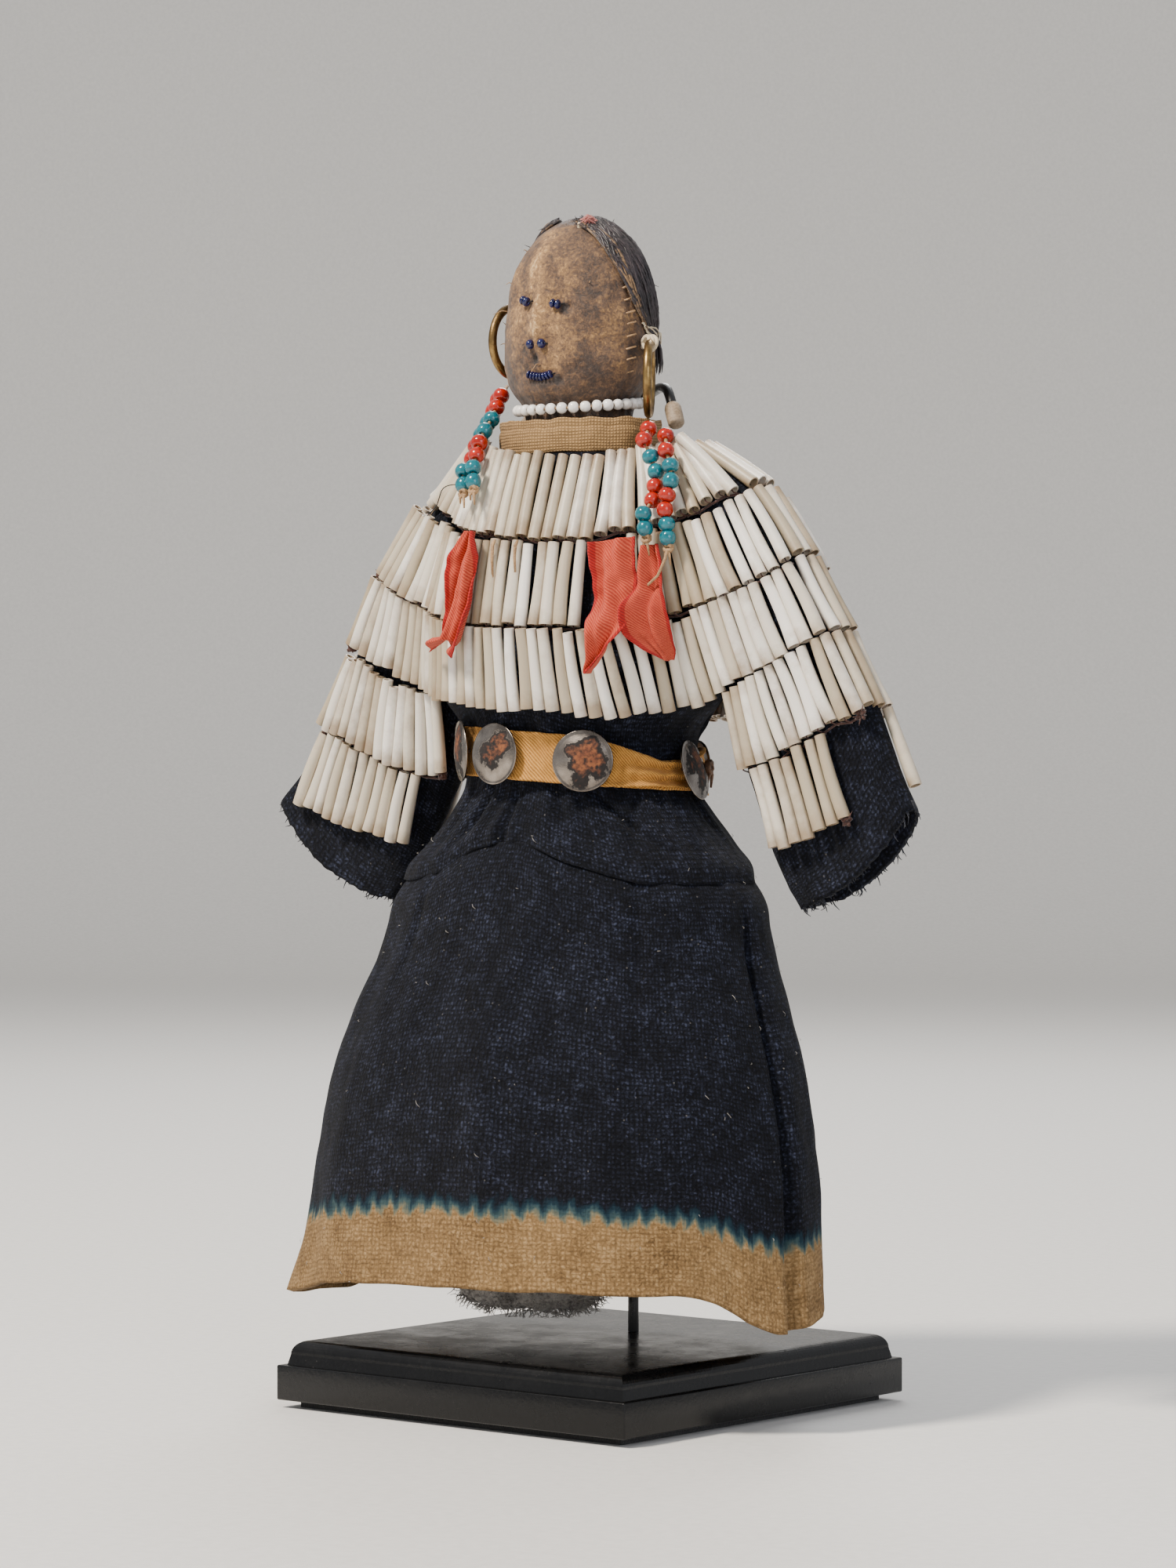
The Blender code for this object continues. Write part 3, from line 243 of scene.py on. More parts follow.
def ripple(x, y, z, size, seed=0):
    """Smooth noise from -1 to 1 whose lumps are size across."""
    return noise.noise(Vector((x / size + seed, y / size + 0.37 * seed, z / size - seed)))


def ripples(x, y, z, *layers):
    """Ripple at many spots. Each layer is its strength, the size of its lumps and a seed."""
    spots = list(zip(*np.broadcast_arrays(x, y, z)))
    return sum(strength * np.array([ripple(*spot, size, seed) for spot in spots]) for strength, size, seed in layers)


def round_ripples(turn, z, radius, *layers):
    """Ripples on an upright round wall."""
    return ripples(radius * np.cos(turn), radius * np.sin(turn), z, *layers)


# Surface of the dress, for what is sewn on it

def line_distance(points, spots):
    """How far spots of the XZ plane are from a line through points."""
    starts, runs = points[:-1], np.diff(points, axis=0)
    offsets = spots[:, None, :] - starts[None]
    share = np.clip((offsets * runs).sum(axis=2) / (runs * runs).sum(axis=1), 0, 1)
    return np.linalg.norm(offsets - runs * share[..., None], axis=2).min(axis=1)


def sleeve_half_depth(side, x, z):
    """Half the depth of a sleeve at spots of its outline, with x measured outwards."""
    outer, inner = sleeve_folds[side]
    spots = np.column_stack([x, z])
    to_outer, to_inner = line_distance(outer, spots), line_distance(inner, spots)
    across = to_inner / np.maximum(to_inner + to_outer, 1e-6)
    top = (outer[0] + inner[0]) / 2
    axis = (outer[-1] + inner[-1]) / 2 - top
    depth = sleeve_depths((spots - top) @ axis / (axis @ axis))[:, 0]
    round_off = np.sqrt(np.maximum(0, 1 - np.abs(2 * across - 1) ** 2.6))
    return SLEEVE_FOLD + (depth - SLEEVE_FOLD) * round_off


def dress_surface(x, z, face):
    """Y of the dress at spots of its outline. Face is -1 at the front and 1 at the back."""
    x, z = np.atleast_1d(x).astype(float), np.atleast_1d(z).astype(float)
    half_width, half_depth, centre = garment(z).T
    y = centre + face * half_depth * np.sqrt(np.maximum(0, 1 - (x / half_width) ** 2))
    for side in (1, -1):
        outer, inner = sleeve_folds[side]
        reached = (x * side >= outer[0][0]) & (z >= inner[-1][1] - WOOL)
        y_sleeve = SLEEVE_CENTRE + face * sleeve_half_depth(side, x * side, z)
        y = np.where(reached, np.maximum(y, y_sleeve) if face > 0 else np.minimum(y, y_sleeve), y)
    return y


# Making pieces

def linear(hex_colour):
    """An sRGB hex colour as linear red, green, blue and alpha."""
    shares = [int(hex_colour[i:i + 2], 16) / 255 for i in (1, 3, 5)]
    return [c / 12.92 if c <= 0.04045 else ((c + 0.055) / 1.055) ** 2.4 for c in shares] + [1]


def per(size):
    """The scale at which a pattern on Object coordinates, in metres, repeats every size millimetres."""
    return 1000 / size


def add(tree, kind, *values, stops=(), output=None, **named):
    """Adds a node and gives back its output, which is its first unless another is named.

    The values fill its inputs in order, a capitalised name is an input and any other a setting. Stops fill a ramp.
    """
    node = tree.nodes.new("ShaderNode" + kind)
    for key, value in named.items():
        if key.islower():
            setattr(node, key, value)
    feeds = list(zip([socket for socket in node.inputs if socket.enabled], values))
    feeds += [(node.inputs[key], value) for key, value in named.items() if not key.islower()]
    for socket, value in feeds:
        if isinstance(value, bpy.types.NodeSocket):
            tree.links.new(value, socket)
        else:
            socket.default_value = value
    for _ in stops[2:]:
        node.color_ramp.elements.new(1)
    for element, (position, colour) in zip(node.color_ramp.elements if stops else (), stops):
        element.position = position
        element.color = linear(colour) if isinstance(colour, str) else (colour, colour, colour, 1)
    return node.outputs[output] if output else next(socket for socket in node.outputs if socket.enabled)


def start_material(name, **constants):
    """A material, its own add-a-node function and Object coordinates.

    The constants are the numbers that are the same all over, on the shader's own sockets.
    """
    material = bpy.data.materials.new(name)
    material.use_nodes = True
    tree = material.node_tree
    for key, value in constants.items():
        tree.nodes["Principled BSDF"].inputs[key.replace("_", " ")].default_value = value
    return material, partial(add, tree), add(tree, "TexCoord", output="Object")


def finish_material(material, colour, roughness, height, depth, **more):
    """Feeds the shader, with height as relief of depth millimetres."""
    tree = material.node_tree
    relief = add(tree, "Bump", Height=height, Distance=depth * MM, Strength=1)
    for key, value in {"Base Color": colour, "Roughness": roughness, "Normal": relief, **more}.items():
        tree.links.new(value, tree.nodes["Principled BSDF"].inputs[key])
    return material


def piece(name, bm, materials, nodes=(), sharp=None, outward=True):
    """Makes a finished piece of a bmesh: it rides on the body, and stands for the CAD nodes named."""
    if outward:
        bmesh.ops.recalc_face_normals(bm, faces=bm.faces)
    return finish_piece(name, pattern_mesh(name, bm), materials, nodes, sharp)


def finish_piece(name, mesh, materials, nodes=(), sharp=None):
    for material in materials:
        mesh.materials.append(material)
    mesh.shade_smooth()
    if sharp:
        mesh.set_sharp_from_angle(angle=radians(sharp))
    made = show(name, mesh)
    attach(made, "root")
    if nodes:
        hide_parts(*nodes)
    return made


def thicken(made, thickness, offset=-1):
    """Gives a sheet its thickness, inwards from its face or to both sides of it."""
    wall = made.modifiers.new("cloth thickness", "SOLIDIFY")
    wall.thickness = thickness * MM
    wall.offset = offset
    wall.use_even_offset = False
    return made


def cloth(columns, rows, place, size, closed=False):
    """A grid of cloth put in place by a function of its shares across and down, with UV in millimetres."""
    bm = bmesh.new()
    bmesh.ops.create_grid(bm, x_segments=columns, y_segments=rows, size=0.5)
    weave = bm.loops.layers.uv.new("UVMap")
    for face in bm.faces:
        for loop in face.loops:
            across, up = loop.vert.co.x + 0.5, loop.vert.co.y + 0.5
            loop[weave].uv = (across * size[0], up * size[1])
    shares = np.array([(vert.co.x + 0.5, 0.5 - vert.co.y) for vert in bm.verts])
    spots = place(shares[:, 0], shares[:, 1])
    for vert, (x, y, z) in zip(bm.verts, spots):
        vert.co = (x * MM, y * MM, (z + RISE) * MM)
    if closed:
        bmesh.ops.remove_doubles(bm, verts=bm.verts, dist=1e-6)
    return bm


def jitter(spread, reach):
    return Vector([spread.uniform(-reach, reach) for _ in range(3)])


def lift(spot):
    return Vector((spot[0] * MM, spot[1] * MM, (spot[2] + RISE) * MM))


def strands(name, paths, material, nodes=(), sides=1):
    """Threads, hairs and wires: each path is its points and the radius at each of them, in millimetres."""
    lines = bpy.data.curves.new(name, "CURVE")
    lines.dimensions = "3D"
    lines.bevel_depth = MM
    lines.bevel_resolution = sides
    lines.use_fill_caps = True
    for points, radii in paths:
        line = lines.splines.new("POLY")
        line.points.add(len(points) - 1)
        for i, point in enumerate(points):
            line.points[i].co = (*lift(point), 1)
            line.points[i].radius = radii[i] if hasattr(radii, "__len__") else radii
    holder = show(name, lines)
    bpy.context.view_layer.update()
    mesh = bpy.data.meshes.new_from_object(holder.evaluated_get(bpy.context.evaluated_depsgraph_get()))
    bpy.data.objects.remove(holder)
    bpy.data.curves.remove(lines)
    mesh.name = name
    mesh.materials.clear()
    bm = bmesh.new()
    bm.from_mesh(mesh)
    bmesh.ops.remove_doubles(bm, verts=bm.verts, dist=1e-7)
    bm.to_mesh(mesh)
    bm.free()
    return finish_piece(name, mesh, [material], nodes)


def turned(profile, steps=32):
    """A shape turned about Z from a profile of radius and height in millimetres."""
    bm = bmesh.new()
    verts = [bm.verts.new((radius * MM, 0, height * MM)) for radius, height in profile]
    edges = [bm.edges.new(pair) for pair in zip(verts, verts[1:])]
    bmesh.ops.spin(bm, geom=verts + edges, cent=(0, 0, 0), axis=(0, 0, 1), angle=TAU, steps=steps,
                   use_merge=True)
    bmesh.ops.remove_doubles(bm, verts=bm.verts, dist=1e-7)
    bmesh.ops.recalc_face_normals(bm, faces=bm.faces)
    return bm


def show(name, data):
    """Puts a mesh, a lamp or a camera in the scene."""
    shown = bpy.data.objects.new(name, data)
    bpy.context.scene.collection.objects.link(shown)
    return shown


def pattern_mesh(name, bm):
    """Turns a bmesh into a mesh, to be shown or to be copied many times."""
    mesh = bpy.data.meshes.new(name)
    bm.to_mesh(mesh)
    bm.free()
    return mesh


def stand_at(spot, run):
    """The matrix that puts a shape's Z axis along a run, with its origin at a spot."""
    return Matrix.Translation(lift(spot)) @ Vector(run).to_track_quat("Z", "Y").to_matrix().to_4x4()


# Materials

def grained(name, size, detail, colours, roughs, relief, roughness=0.5, fine=None, **constants):
    """A material whose colour and gloss vary with one noise, and whose relief follows it or a finer one."""
    material, node, where = start_material(name, **constants)
    patch = node("TexNoise", where, per(size), detail, roughness)
    bumps = node("TexNoise", where, per(fine[0]), fine[1]) if fine else patch
    colour = node("ValToRGB", patch, stops=colours)
    rough = node("ValToRGB", patch, stops=roughs)
    return finish_material(material, colour, rough, bumps, relief)


def lacquered_wood():
    """Wood under black gloss lacquer: a deep mirror, clouded in places by handling, with specks of dust."""
    material, node, where = start_material("black_lacquered_wood", IOR=1.5, Coat_Weight=0.06, Coat_Roughness=0.08,
                                           Specular_IOR_Level=0.28)
    grain = node("TexNoise", where, per(0.9), 4)
    cloud = node("TexNoise", where, per(14), 6, 0.7)
    speck = node("TexVoronoi", where, per(1.7))
    dust = node("ValToRGB", speck, stops=[(0.05, 1), (0.1, 0)])
    few = node("ValToRGB", cloud, stops=[(0.5, 0), (0.66, 1)])
    lint = node("Math", dust, few, operation="MULTIPLY")
    body = node("ValToRGB", grain, stops=[(0.3, "#030303"), (0.75, "#0b0b0c")])
    colour = node("Mix", lint, body, linear("#4c4a47"), data_type="RGBA")
    rough = node("ValToRGB", cloud, stops=[(0.3, 0.16), (0.75, 0.4)])
    return finish_material(material, colour, rough, grain, 0.05)


def worn_hide():
    """Brain-tanned hide, smoked and handled: napped like suede, darker where dirty and where shade is painted in, paler
    where rubbed and where highlights are painted on.
    """
    material, node, where = start_material("worn_hide", IOR=1.45, Sheen_Weight=0.12, Sheen_Roughness=0.5)
    # Pale patches: partly rubbing wear, partly painted highlight on the brow, nose ridge and cheeks.
    worn = node("Attribute", attribute_name="worn", output="Fac")
    # Dark patches: dirt on the crown and back, painted shade under the mouth, in small dents and down the sides, and a
    # darker ring round the neck.
    soil = node("Attribute", attribute_name="soiled", output="Fac")
    cloud = node("TexNoise", where, per(9), 7, 0.62)
    nap = node("TexNoise", where, per(0.9), 6, 0.8, Distortion=0.8)
    pore = node("TexNoise", where, per(2), 4, Distortion=1.5)
    tone = node("Math", cloud, worn, operation="ADD")
    tone = node("Math", tone, soil, operation="SUBTRACT")
    tone = node("Math", tone, node("MapRange", nap, 0.3, 0.7, -0.24, 0.24), operation="ADD")
    tone = node("Math", tone, node("MapRange", pore, 0.3, 0.7, -0.13, 0.13), operation="ADD")
    colour = node("ValToRGB", tone, stops=[(0.05, "#211712"), (0.27, "#3d2c20"), (0.45, "#5f4530"), (0.6, "#80603d"),
                                           (0.76, "#a67f4f"), (0.93, "#cfae80")])
    rough = node("ValToRGB", tone, stops=[(0.2, 0.5), (0.8, 0.78)])
    return finish_material(material, colour, rough, node("Math", nap, pore, operation="ADD"), 0.3)


def glass(name, deep, light, roughness=0.1):
    """Opaque glass drawn and cut into beads: a hard bright gloss over an even colour with faint streaks."""
    material, node, where = start_material(name, IOR=1.52, Coat_Weight=0.25, Coat_Roughness=0.05)
    streak = node("TexNoise", where, per(1.6), 3, Distortion=1.2)
    colour = node("ValToRGB", streak, stops=[(0.3, deep), (0.7, light)])
    rough = node("MapRange", streak, 0, 1, roughness, roughness + 0.16)
    return finish_material(material, colour, rough, streak, 0.01)


def weave_height(node, where, uv, thread, wander, twill=False):
    """Height of a plain or twill weave on UV in millimetres, whose threads wander off their lines.

    Wander is the size, the detail and the reach of the wandering.
    """
    drift = node("TexNoise", where, per(wander[0]), wander[1], output="Color")
    moved = node("VectorMath", drift, (wander[2], wander[2], 0), operation="MULTIPLY")
    split = node("SeparateXYZ", node("VectorMath", uv, moved, operation="ADD")).node
    turns = [node("Math", split.outputs[axis], (TAU if twill else math.pi) / thread, operation="MULTIPLY")
             for axis in "XY"]
    if twill:
        wave = node("Math", node("Math", *turns, operation="ADD"), operation="SINE")
        return node("MapRange", wave, -1, 1)
    return node("Math", *[node("Math", node("Math", turn, operation="SINE"), operation="ABSOLUTE") for turn in turns],
                operation="MULTIPLY")


def woven(name, thread, dark, mid, light, soil_colour, depth=0.22, twill=False, sheen=0.05, edge=None):
    """Plain or twill cloth on the piece's own UV, in millimetres: threads cross under and over, dirtied in patches.

    Edge is the width of a bright selvage, the cloth's width and the selvage's two colours.
    """
    material, node, where = start_material(name, IOR=1.45, Sheen_Weight=sheen, Sheen_Roughness=0.5)
    uv = node("UVMap", uv_map="UVMap")
    weave = weave_height(node, where, uv, thread, (5, 2, 0.7), twill)
    fibre = node("TexNoise", where, per(0.45), 4, 0.7)
    patch = node("TexNoise", where, per(11), 6, 0.65)
    tone = node("Math", fibre, 0.7, node("Math", weave, 0.45, operation="MULTIPLY"), operation="MULTIPLY_ADD")
    colour = node("ValToRGB", tone, stops=[(0.2, dark), (0.52, mid), (0.85, light)])
    soil = node("ValToRGB", patch, stops=[(0.52, 0), (0.75, 0.6)])
    shade = node("Mix", soil, colour, linear(soil_colour), data_type="RGBA")
    if edge:
        width, total, red, bright = edge
        off = node("Math", node("SeparateXYZ", uv), total / 2, operation="SUBTRACT")
        away = node("Math", off, operation="ABSOLUTE")
        near = node("MapRange", away, total / 2 - width, total / 2 - width * 0.8)
        border = node("ValToRGB", tone, stops=[(0.3, red), (0.75, bright)])
        shade = node("Mix", near, shade, border, data_type="RGBA")
    height = node("Math", fibre, 0.6, weave, operation="MULTIPLY_ADD")
    return finish_material(material, shade, node("MapRange", fibre, 0, 1, 0.75, 0.95), height, depth)


def dyed_edge(node, where, uv, tone, shade):
    """The undyed tan selvage below the navy, with the dye run into it in uneven teeth."""
    plain = node("SeparateXYZ", uv).node.outputs
    skew = node("TexNoise", uv, 0.16, 2, 0.5)
    tooth = node("Math", skew, 1.6, node("Math", plain["X"], DYE_TOOTH, operation="DIVIDE"), operation="MULTIPLY_ADD")
    saw = node("Math", tooth, 0.5, operation="PINGPONG")
    drift = node("TexNoise", uv, 0.07, 2)
    streaks = node("TexNoise", node("Mapping", uv, Scale=(1.1, 0.12, 1)), 1, 4)
    level = plain["Y"]
    for part, reach in ((saw, -4.6), (drift, -5), (streaks, -3.4)):
        level = node("Math", part, reach, level, operation="MULTIPLY_ADD")
    share = node("MapRange", level, SELVAGE - 7.8, SELVAGE - 1.4)
    dye = node("ValToRGB", share, stops=[(0, "#8f7450"), (0.16, "#6d6a56"), (0.34, "#384c4e"), (0.55, "#182d38"),
                                         (0.8, "#0b151f"), (1, "#07080e")])
    # The tan follows the wool's tone, so it carries the same painted highlight and shade on the nubs.
    tan = node("ValToRGB", tone, stops=[(0.44, "#4a3823"), (0.6, "#806543"), (0.76, "#b0936a")])
    soil = node("TexNoise", where, per(16), 5, 0.6)
    stain = node("ValToRGB", soil, stops=[(0.42, "#94764e"), (0.7, "#62492b")])
    tan = node("Mix", 0.3, tan, stain, data_type="RGBA")
    low = node("Mix", node("MapRange", share, 0.02, 0.14), tan, dye, data_type="RGBA")
    return node("Mix", node("MapRange", share, 0.7, 1), low, shade, data_type="RGBA")


def navy_wool(name, with_selvage=False):
    """Felted trade wool dyed navy: fulled so that the weave only just shows, with its raised fuzz and nubs painted
    paler as painted highlight, and flecks of lint.
    """
    material, node, where = start_material(name, IOR=1.4, Specular_IOR_Level=0.2, Sheen_Weight=0.02,
                                           Sheen_Roughness=0.4)
    uv = node("UVMap", uv_map="UVMap")
    weave = weave_height(node, where, uv, WOOL_THREAD, (3, 3, 1.7))
    fuzz = node("TexNoise", where, per(1.1), 5, 0.75, Distortion=0.6)
    lump = node("TexNoise", where, per(7), 5, 0.6)
    # The tone follows the relief: paler where the fuzz and weave stand up and darker where they dip, painted highlight
    # and shade on the nubs.
    tone = node("Math", weave, 0.12, operation="MULTIPLY")
    tone = node("Math", fuzz, 0.8, tone, operation="MULTIPLY_ADD")
    tone = node("Math", lump, 0.3, tone, operation="MULTIPLY_ADD")
    shade = node("ValToRGB", tone, stops=[(0.46, "#030408"), (0.58, "#0b0d14"), (0.67, "#171a25"), (0.78, "#363b4d")])
    fleck = node("ValToRGB", node("TexVoronoi", where, per(3.4)), stops=[(0.04, 0.6), (0.08, 0)])
    shade = node("Mix", fleck, shade, linear("#66635f"), data_type="RGBA")
    if with_selvage:
        shade = dyed_edge(node, where, uv, tone, shade)
    height = node("Math", weave, 0.28, fuzz, operation="MULTIPLY_ADD")
    return finish_material(material, shade, node("MapRange", fuzz, 0, 1, 0.85, 1), height, 0.6)


def rusted_tin():
    """Stamped tin disc: dull grey sheen with orange and brown rust that kills the shine."""
    material, node, where = start_material("rusted_tin")
    patch = node("TexNoise", where, per(8), 6, 0.58)
    speck = node("TexNoise", where, per(0.9), 5)
    rim = node("Attribute", attribute_name="rim", output="Fac")
    edge = node("Math", speck, 0.14, node("Math", patch, rim, operation="SUBTRACT"), operation="MULTIPLY_ADD")
    rust = node("MapRange", edge, 0.53, 0.57)
    bare = node("ValToRGB", patch, stops=[(0.34, "#9c938a"), (0.56, "#675f58")])
    orange = node("ValToRGB", node("MapRange", edge, 0.53, 0.82),
                  stops=[(0, "#0f0c0b"), (0.34, "#1a110e"), (0.5, "#55301d"), (0.78, "#7f4a28"), (1, "#6b3a20")])
    grit = node("ValToRGB", speck, stops=[(0.32, "#6a6361"), (0.6, "#ffffff")])
    brown = node("Mix", 1, orange, grit, data_type="RGBA", blend_type="MULTIPLY")
    colour = node("Mix", rust, bare, brown, data_type="RGBA")
    return finish_material(material, colour, node("MapRange", rust, 0, 1, 0.26, 0.85), speck, 0.03,
                           Metallic=node("Math", 1, rust, operation="SUBTRACT"))


def tusk_shell():
    """Polished tubular sea shell: ivory, brown at the ends and along some sides, with a faint streak."""
    material, node, where = start_material("tusk_shell", IOR=1.53, Subsurface_Weight=0.08, Subsurface_Scale=1 * MM)
    tone = node("Attribute", attribute_name="tone", output="Fac")
    stain = node("Attribute", attribute_name="stain", output="Fac")
    cloud = node("TexNoise", where, per(4.5), 5, 0.6)
    streak = node("TexNoise", node("Mapping", node("UVMap", uv_map="UVMap"), Scale=(1, 0.12, 1)), 0.9, 4)
    fine = node("TexNoise", where, per(0.5), 4)
    ground = node("ValToRGB", tone, stops=[(0, "#a5967c"), (0.3, "#c7bca8"), (0.6, "#dad3c6"), (1, "#ede8df")])
    amount = node("Math", node("Math", cloud, streak, operation="ADD"), stain, operation="ADD")
    dirt = node("MapRange", amount, 1.12, 1.75, 0, 0.8)
    colour = node("Mix", dirt, ground, linear("#8a7458"), data_type="RGBA")
    return finish_material(material, colour, node("MapRange", cloud, 0, 1, 0.28, 0.55), fine, 0.05)


def fibre_stuff(name, dark, light, size=0.4, sheen=0.2, roughness=0.6):
    """Hair, thread, sinew, leather or loose wool: dull strands that vary from one to the next."""
    material, node, where = start_material(name, IOR=1.5, Sheen_Weight=sheen, Sheen_Roughness=0.4)
    strand = node("TexNoise", where, per(size), 3)
    patch = node("TexNoise", where, per(size * 8), 3)
    half = node("Math", node("Math", strand, patch, operation="ADD"), 0.5, operation="MULTIPLY")
    colour = node("ValToRGB", half, stops=[(0.36, dark), (0.64, light)])
    rough = node("MapRange", strand, 0, 1, roughness - 0.1, min(1, roughness + 0.15))
    return finish_material(material, colour, rough, strand, 0.1)


WOOL_THREAD = 1.15
DYE_TOOTH = 5
SELVAGE = 20

lacquer = lacquered_wood()
# Pressed felt: dull, with a fine fibre that scatters light
felt = grained("black_felt", 0.5, 6, [(0.3, "#0d0d0d"), (0.7, "#1f1f1f")], [(0, 0.9), (1, 1)], 0.2,
               IOR=1.5, Sheen_Weight=0.3, Sheen_Roughness=0.6)
# Steel rod under thin black paint: satin, with small rubbed spots
steel = grained("blackened_steel", 2.5, 5, [(0.35, "#0b0b0c"), (0.62, "#1c1b1a"), (0.8, "#4a443c")],
                [(0.3, 0.22), (0.8, 0.5)], 0.05, 0.65, IOR=1.5)
# Drawn brass wire, handled and tarnished: brown in the hollows and golden where it rubs
brass = grained("tarnished_brass", 4, 6, [(0.3, "#4a3c26"), (0.5, "#7d6440"), (0.72, "#b3945c")],
                [(0.3, 0.5), (0.7, 0.26)], 0.03, 0.65, fine=(0.35, 3), Metallic=1)
# Matt paper for the floor: even, with a grain too fine to catch the eye
paper = grained("pale_matt_paper", 3, 4, [(0.3, "#d6d4d0"), (0.7, "#dedcd8")], [(0, 0.6), (1, 0.8)], 0.02,
                IOR=1.45)
hide = worn_hide()
blue_glass = glass("dark_blue_glass", "#04072a", "#0b1250", 0.05)
white_glass = glass("white_glass", "#e4dfd7", "#fbf8f3", 0.16)
red_glass = glass("red_glass", "#8a0c00", "#bb2002")
teal_glass = glass("teal_glass", "#03505c", "#077480")
canvas = woven("tan_cotton_canvas", 0.8, "#5e482c", "#8d6d43", "#ae8b5c", "#644a2b", depth=0.18)
belt_twill = woven("mustard_cotton_twill", 1, "#7c5016", "#b67c30", "#d49d4c", "#95621f", depth=0.2, twill=True)
silk = woven("coral_silk_ribbon", 0.75, "#8a200f", "#b43a22", "#cc583c", "#9c2614", depth=0.12, twill=True,
             edge=(0.9, 10, "#7f0603", "#b3140a"))
navy = navy_wool("navy_wool")
navy_list = navy_wool("navy_wool_with_selvage", with_selvage=True)
tin = rusted_tin()
shell_stuff = tusk_shell()
hair_stuff = fibre_stuff("dark_hair", "#0b0809", "#3c3235", 0.7, 0.1, 0.4)
faded_hair = fibre_stuff("faded_brown_hair", "#3a2a1d", "#8a6d4c", 0.7, 0.1, 0.5)
pink_wool = fibre_stuff("faded_pink_wool", "#8d4d47", "#d08d84", 0.3, 0.3, 0.85)
cream_thread = fibre_stuff("cream_cotton_thread", "#a89678", "#d9cbb0", roughness=0.8)
sinew = fibre_stuff("tan_sinew", "#7d5e3e", "#b8946a", sheen=0.1)
brown_thread = fibre_stuff("brown_wool_thread", "#2c1b18", "#5e3d34", roughness=0.85)
dark_thread = fibre_stuff("black_thread", "#0a0a0b", "#1f1c1b", sheen=0.1, roughness=0.8)
navy_fibre = fibre_stuff("navy_wool_fibre", "#0a0c12", "#262a36", roughness=0.9)
lint_fibre = fibre_stuff("pale_lint", "#6d6a68", "#b8b2a8", 0.5, roughness=0.9)
leather = fibre_stuff("dry_brown_leather", "#2e1d14", "#6b4c35", 0.6, 0.05)
tubing = fibre_stuff("tan_rubber_tubing", "#7d6a52", "#a3907a", 0.6, 0.05, 0.55)
fleece = fibre_stuff("grey_fleece", "#625e5c", "#c4bfb9", 0.9, 0.3, 0.95)


# Stand

def build_plinth():
    """The moulded base: a square band, a step, and a quarter-round up to the flat top."""
    bm = bmesh.new()
    height = BAND_TOP - PLINTH_FOOT
    middle = Matrix.Translation((0, 0, (PLINTH_FOOT + height / 2) * MM))
    bmesh.ops.create_cube(bm, size=MM, matrix=middle @ Matrix.Diagonal((2 * PLINTH_HALF, 2 * PLINTH_HALF, height, 1)))
    bmesh.ops.bevel(bm, geom=bm.edges[:], offset=0.45 * MM, affect="EDGES", segments=3, profile=0.5, material=-1)
    top = max(bm.faces, key=lambda face: face.calc_center_median().z)
    bmesh.ops.inset_region(bm, faces=[top], thickness=(STEP_INSET - 0.45) * MM)
    steps = [(PLINTH_HALF - STEP_INSET, COVE_TOP)]
    run, rise = TOP_INSET - STEP_INSET, PLINTH_TOP - COVE_TOP
    for i in range(1, 9):
        turn = radians(90 * i / 8)
        steps.append((PLINTH_HALF - STEP_INSET - run * (1 - cos(turn)), COVE_TOP + rise * sin(turn)))
    for half, level in steps:
        top = bmesh.ops.extrude_face_region(bm, geom=[top])["geom"]
        for vert in (item for item in top if isinstance(item, bmesh.types.BMVert)):
            vert.co = (math.copysign(half * MM, vert.co.x), math.copysign(half * MM, vert.co.y), level * MM)
        top = next(item for item in top if isinstance(item, bmesh.types.BMFace))
    piece("plinth_moulding", bm, [lacquer], ["plinth"], sharp=32)


build_plinth()
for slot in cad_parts["foot_pad"].material_slots:
    slot.material = felt

ROD = [(0, 17, 9.2), (0, 17, 60), (0, 17, 136), (0, 16.7, 148), (0, 12.9, 184),
       (0, 10.5, 212), (0, 9.1, 232), (0, 8.9, 240), (0, 8.9, 249.2), (0, 9.7, 251),
       (0, 11.1, 252.7)]
FORK_HALF = [(0, 13.4, 255), (5, 13.3, 255.8), (10, 12.2, 257.2), (14.6, 9.8, 258),
             (18.4, 7.6, 257.4), (21.2, 5.6, 255), (23, 4.4, 252.2)]
rod_points = np.vstack([path_at(ROD, 90), [(0, 12.4, 254)]])
strands("stand_rod_bar", [(rod_points, [ROD_RADIUS] * 89 + [1.75, 1.5])], steel, ["stand_rod"], sides=8)
fork_points = path_at([(-x, y, z) for x, y, z in reversed(FORK_HALF[1:])] + FORK_HALF, 72)
strands("neck_fork_bar", [(fork_points, FORK_RADIUS)], steel, ["neck_fork"], sides=8)
for word, tip, before in (("left", fork_points[-1], fork_points[-3]), ("right", fork_points[0], fork_points[2])):
    run = (tip - before) / np.linalg.norm(tip - before)
    sleeve_run = [tip + run * step for step in (-0.9, -0.5, 0.2, 2.6, 5.2, 5.7, 5.9)]
    strands(f"prong_tubing_{word}", [(sleeve_run, [1.5, 1.95, 2.15, 2.2, 2.12, 1.8, 1.1])], tubing,
            [f"prong_pad_{word}"], sides=6)


# Hide head and body

def head_shift(z):
    return HEAD_SHIFT * np.clip((np.asarray(z, dtype=float) - 250) / 15, 0, 1)


def head_point(angle, z, out=0):
    """A point beside the head, out from its surface, with the angle from +X towards +Y in degrees."""
    half_width, half_depth, centre = figure(z)
    a = radians(angle)
    side = Vector((half_width * cos(a), half_depth * sin(a)))
    normal = Vector((cos(a) / half_width, sin(a) / half_depth)).normalized()
    return Vector((float(head_shift(z)) + side.x + normal.x * out, centre + side.y + normal.y * out, z))


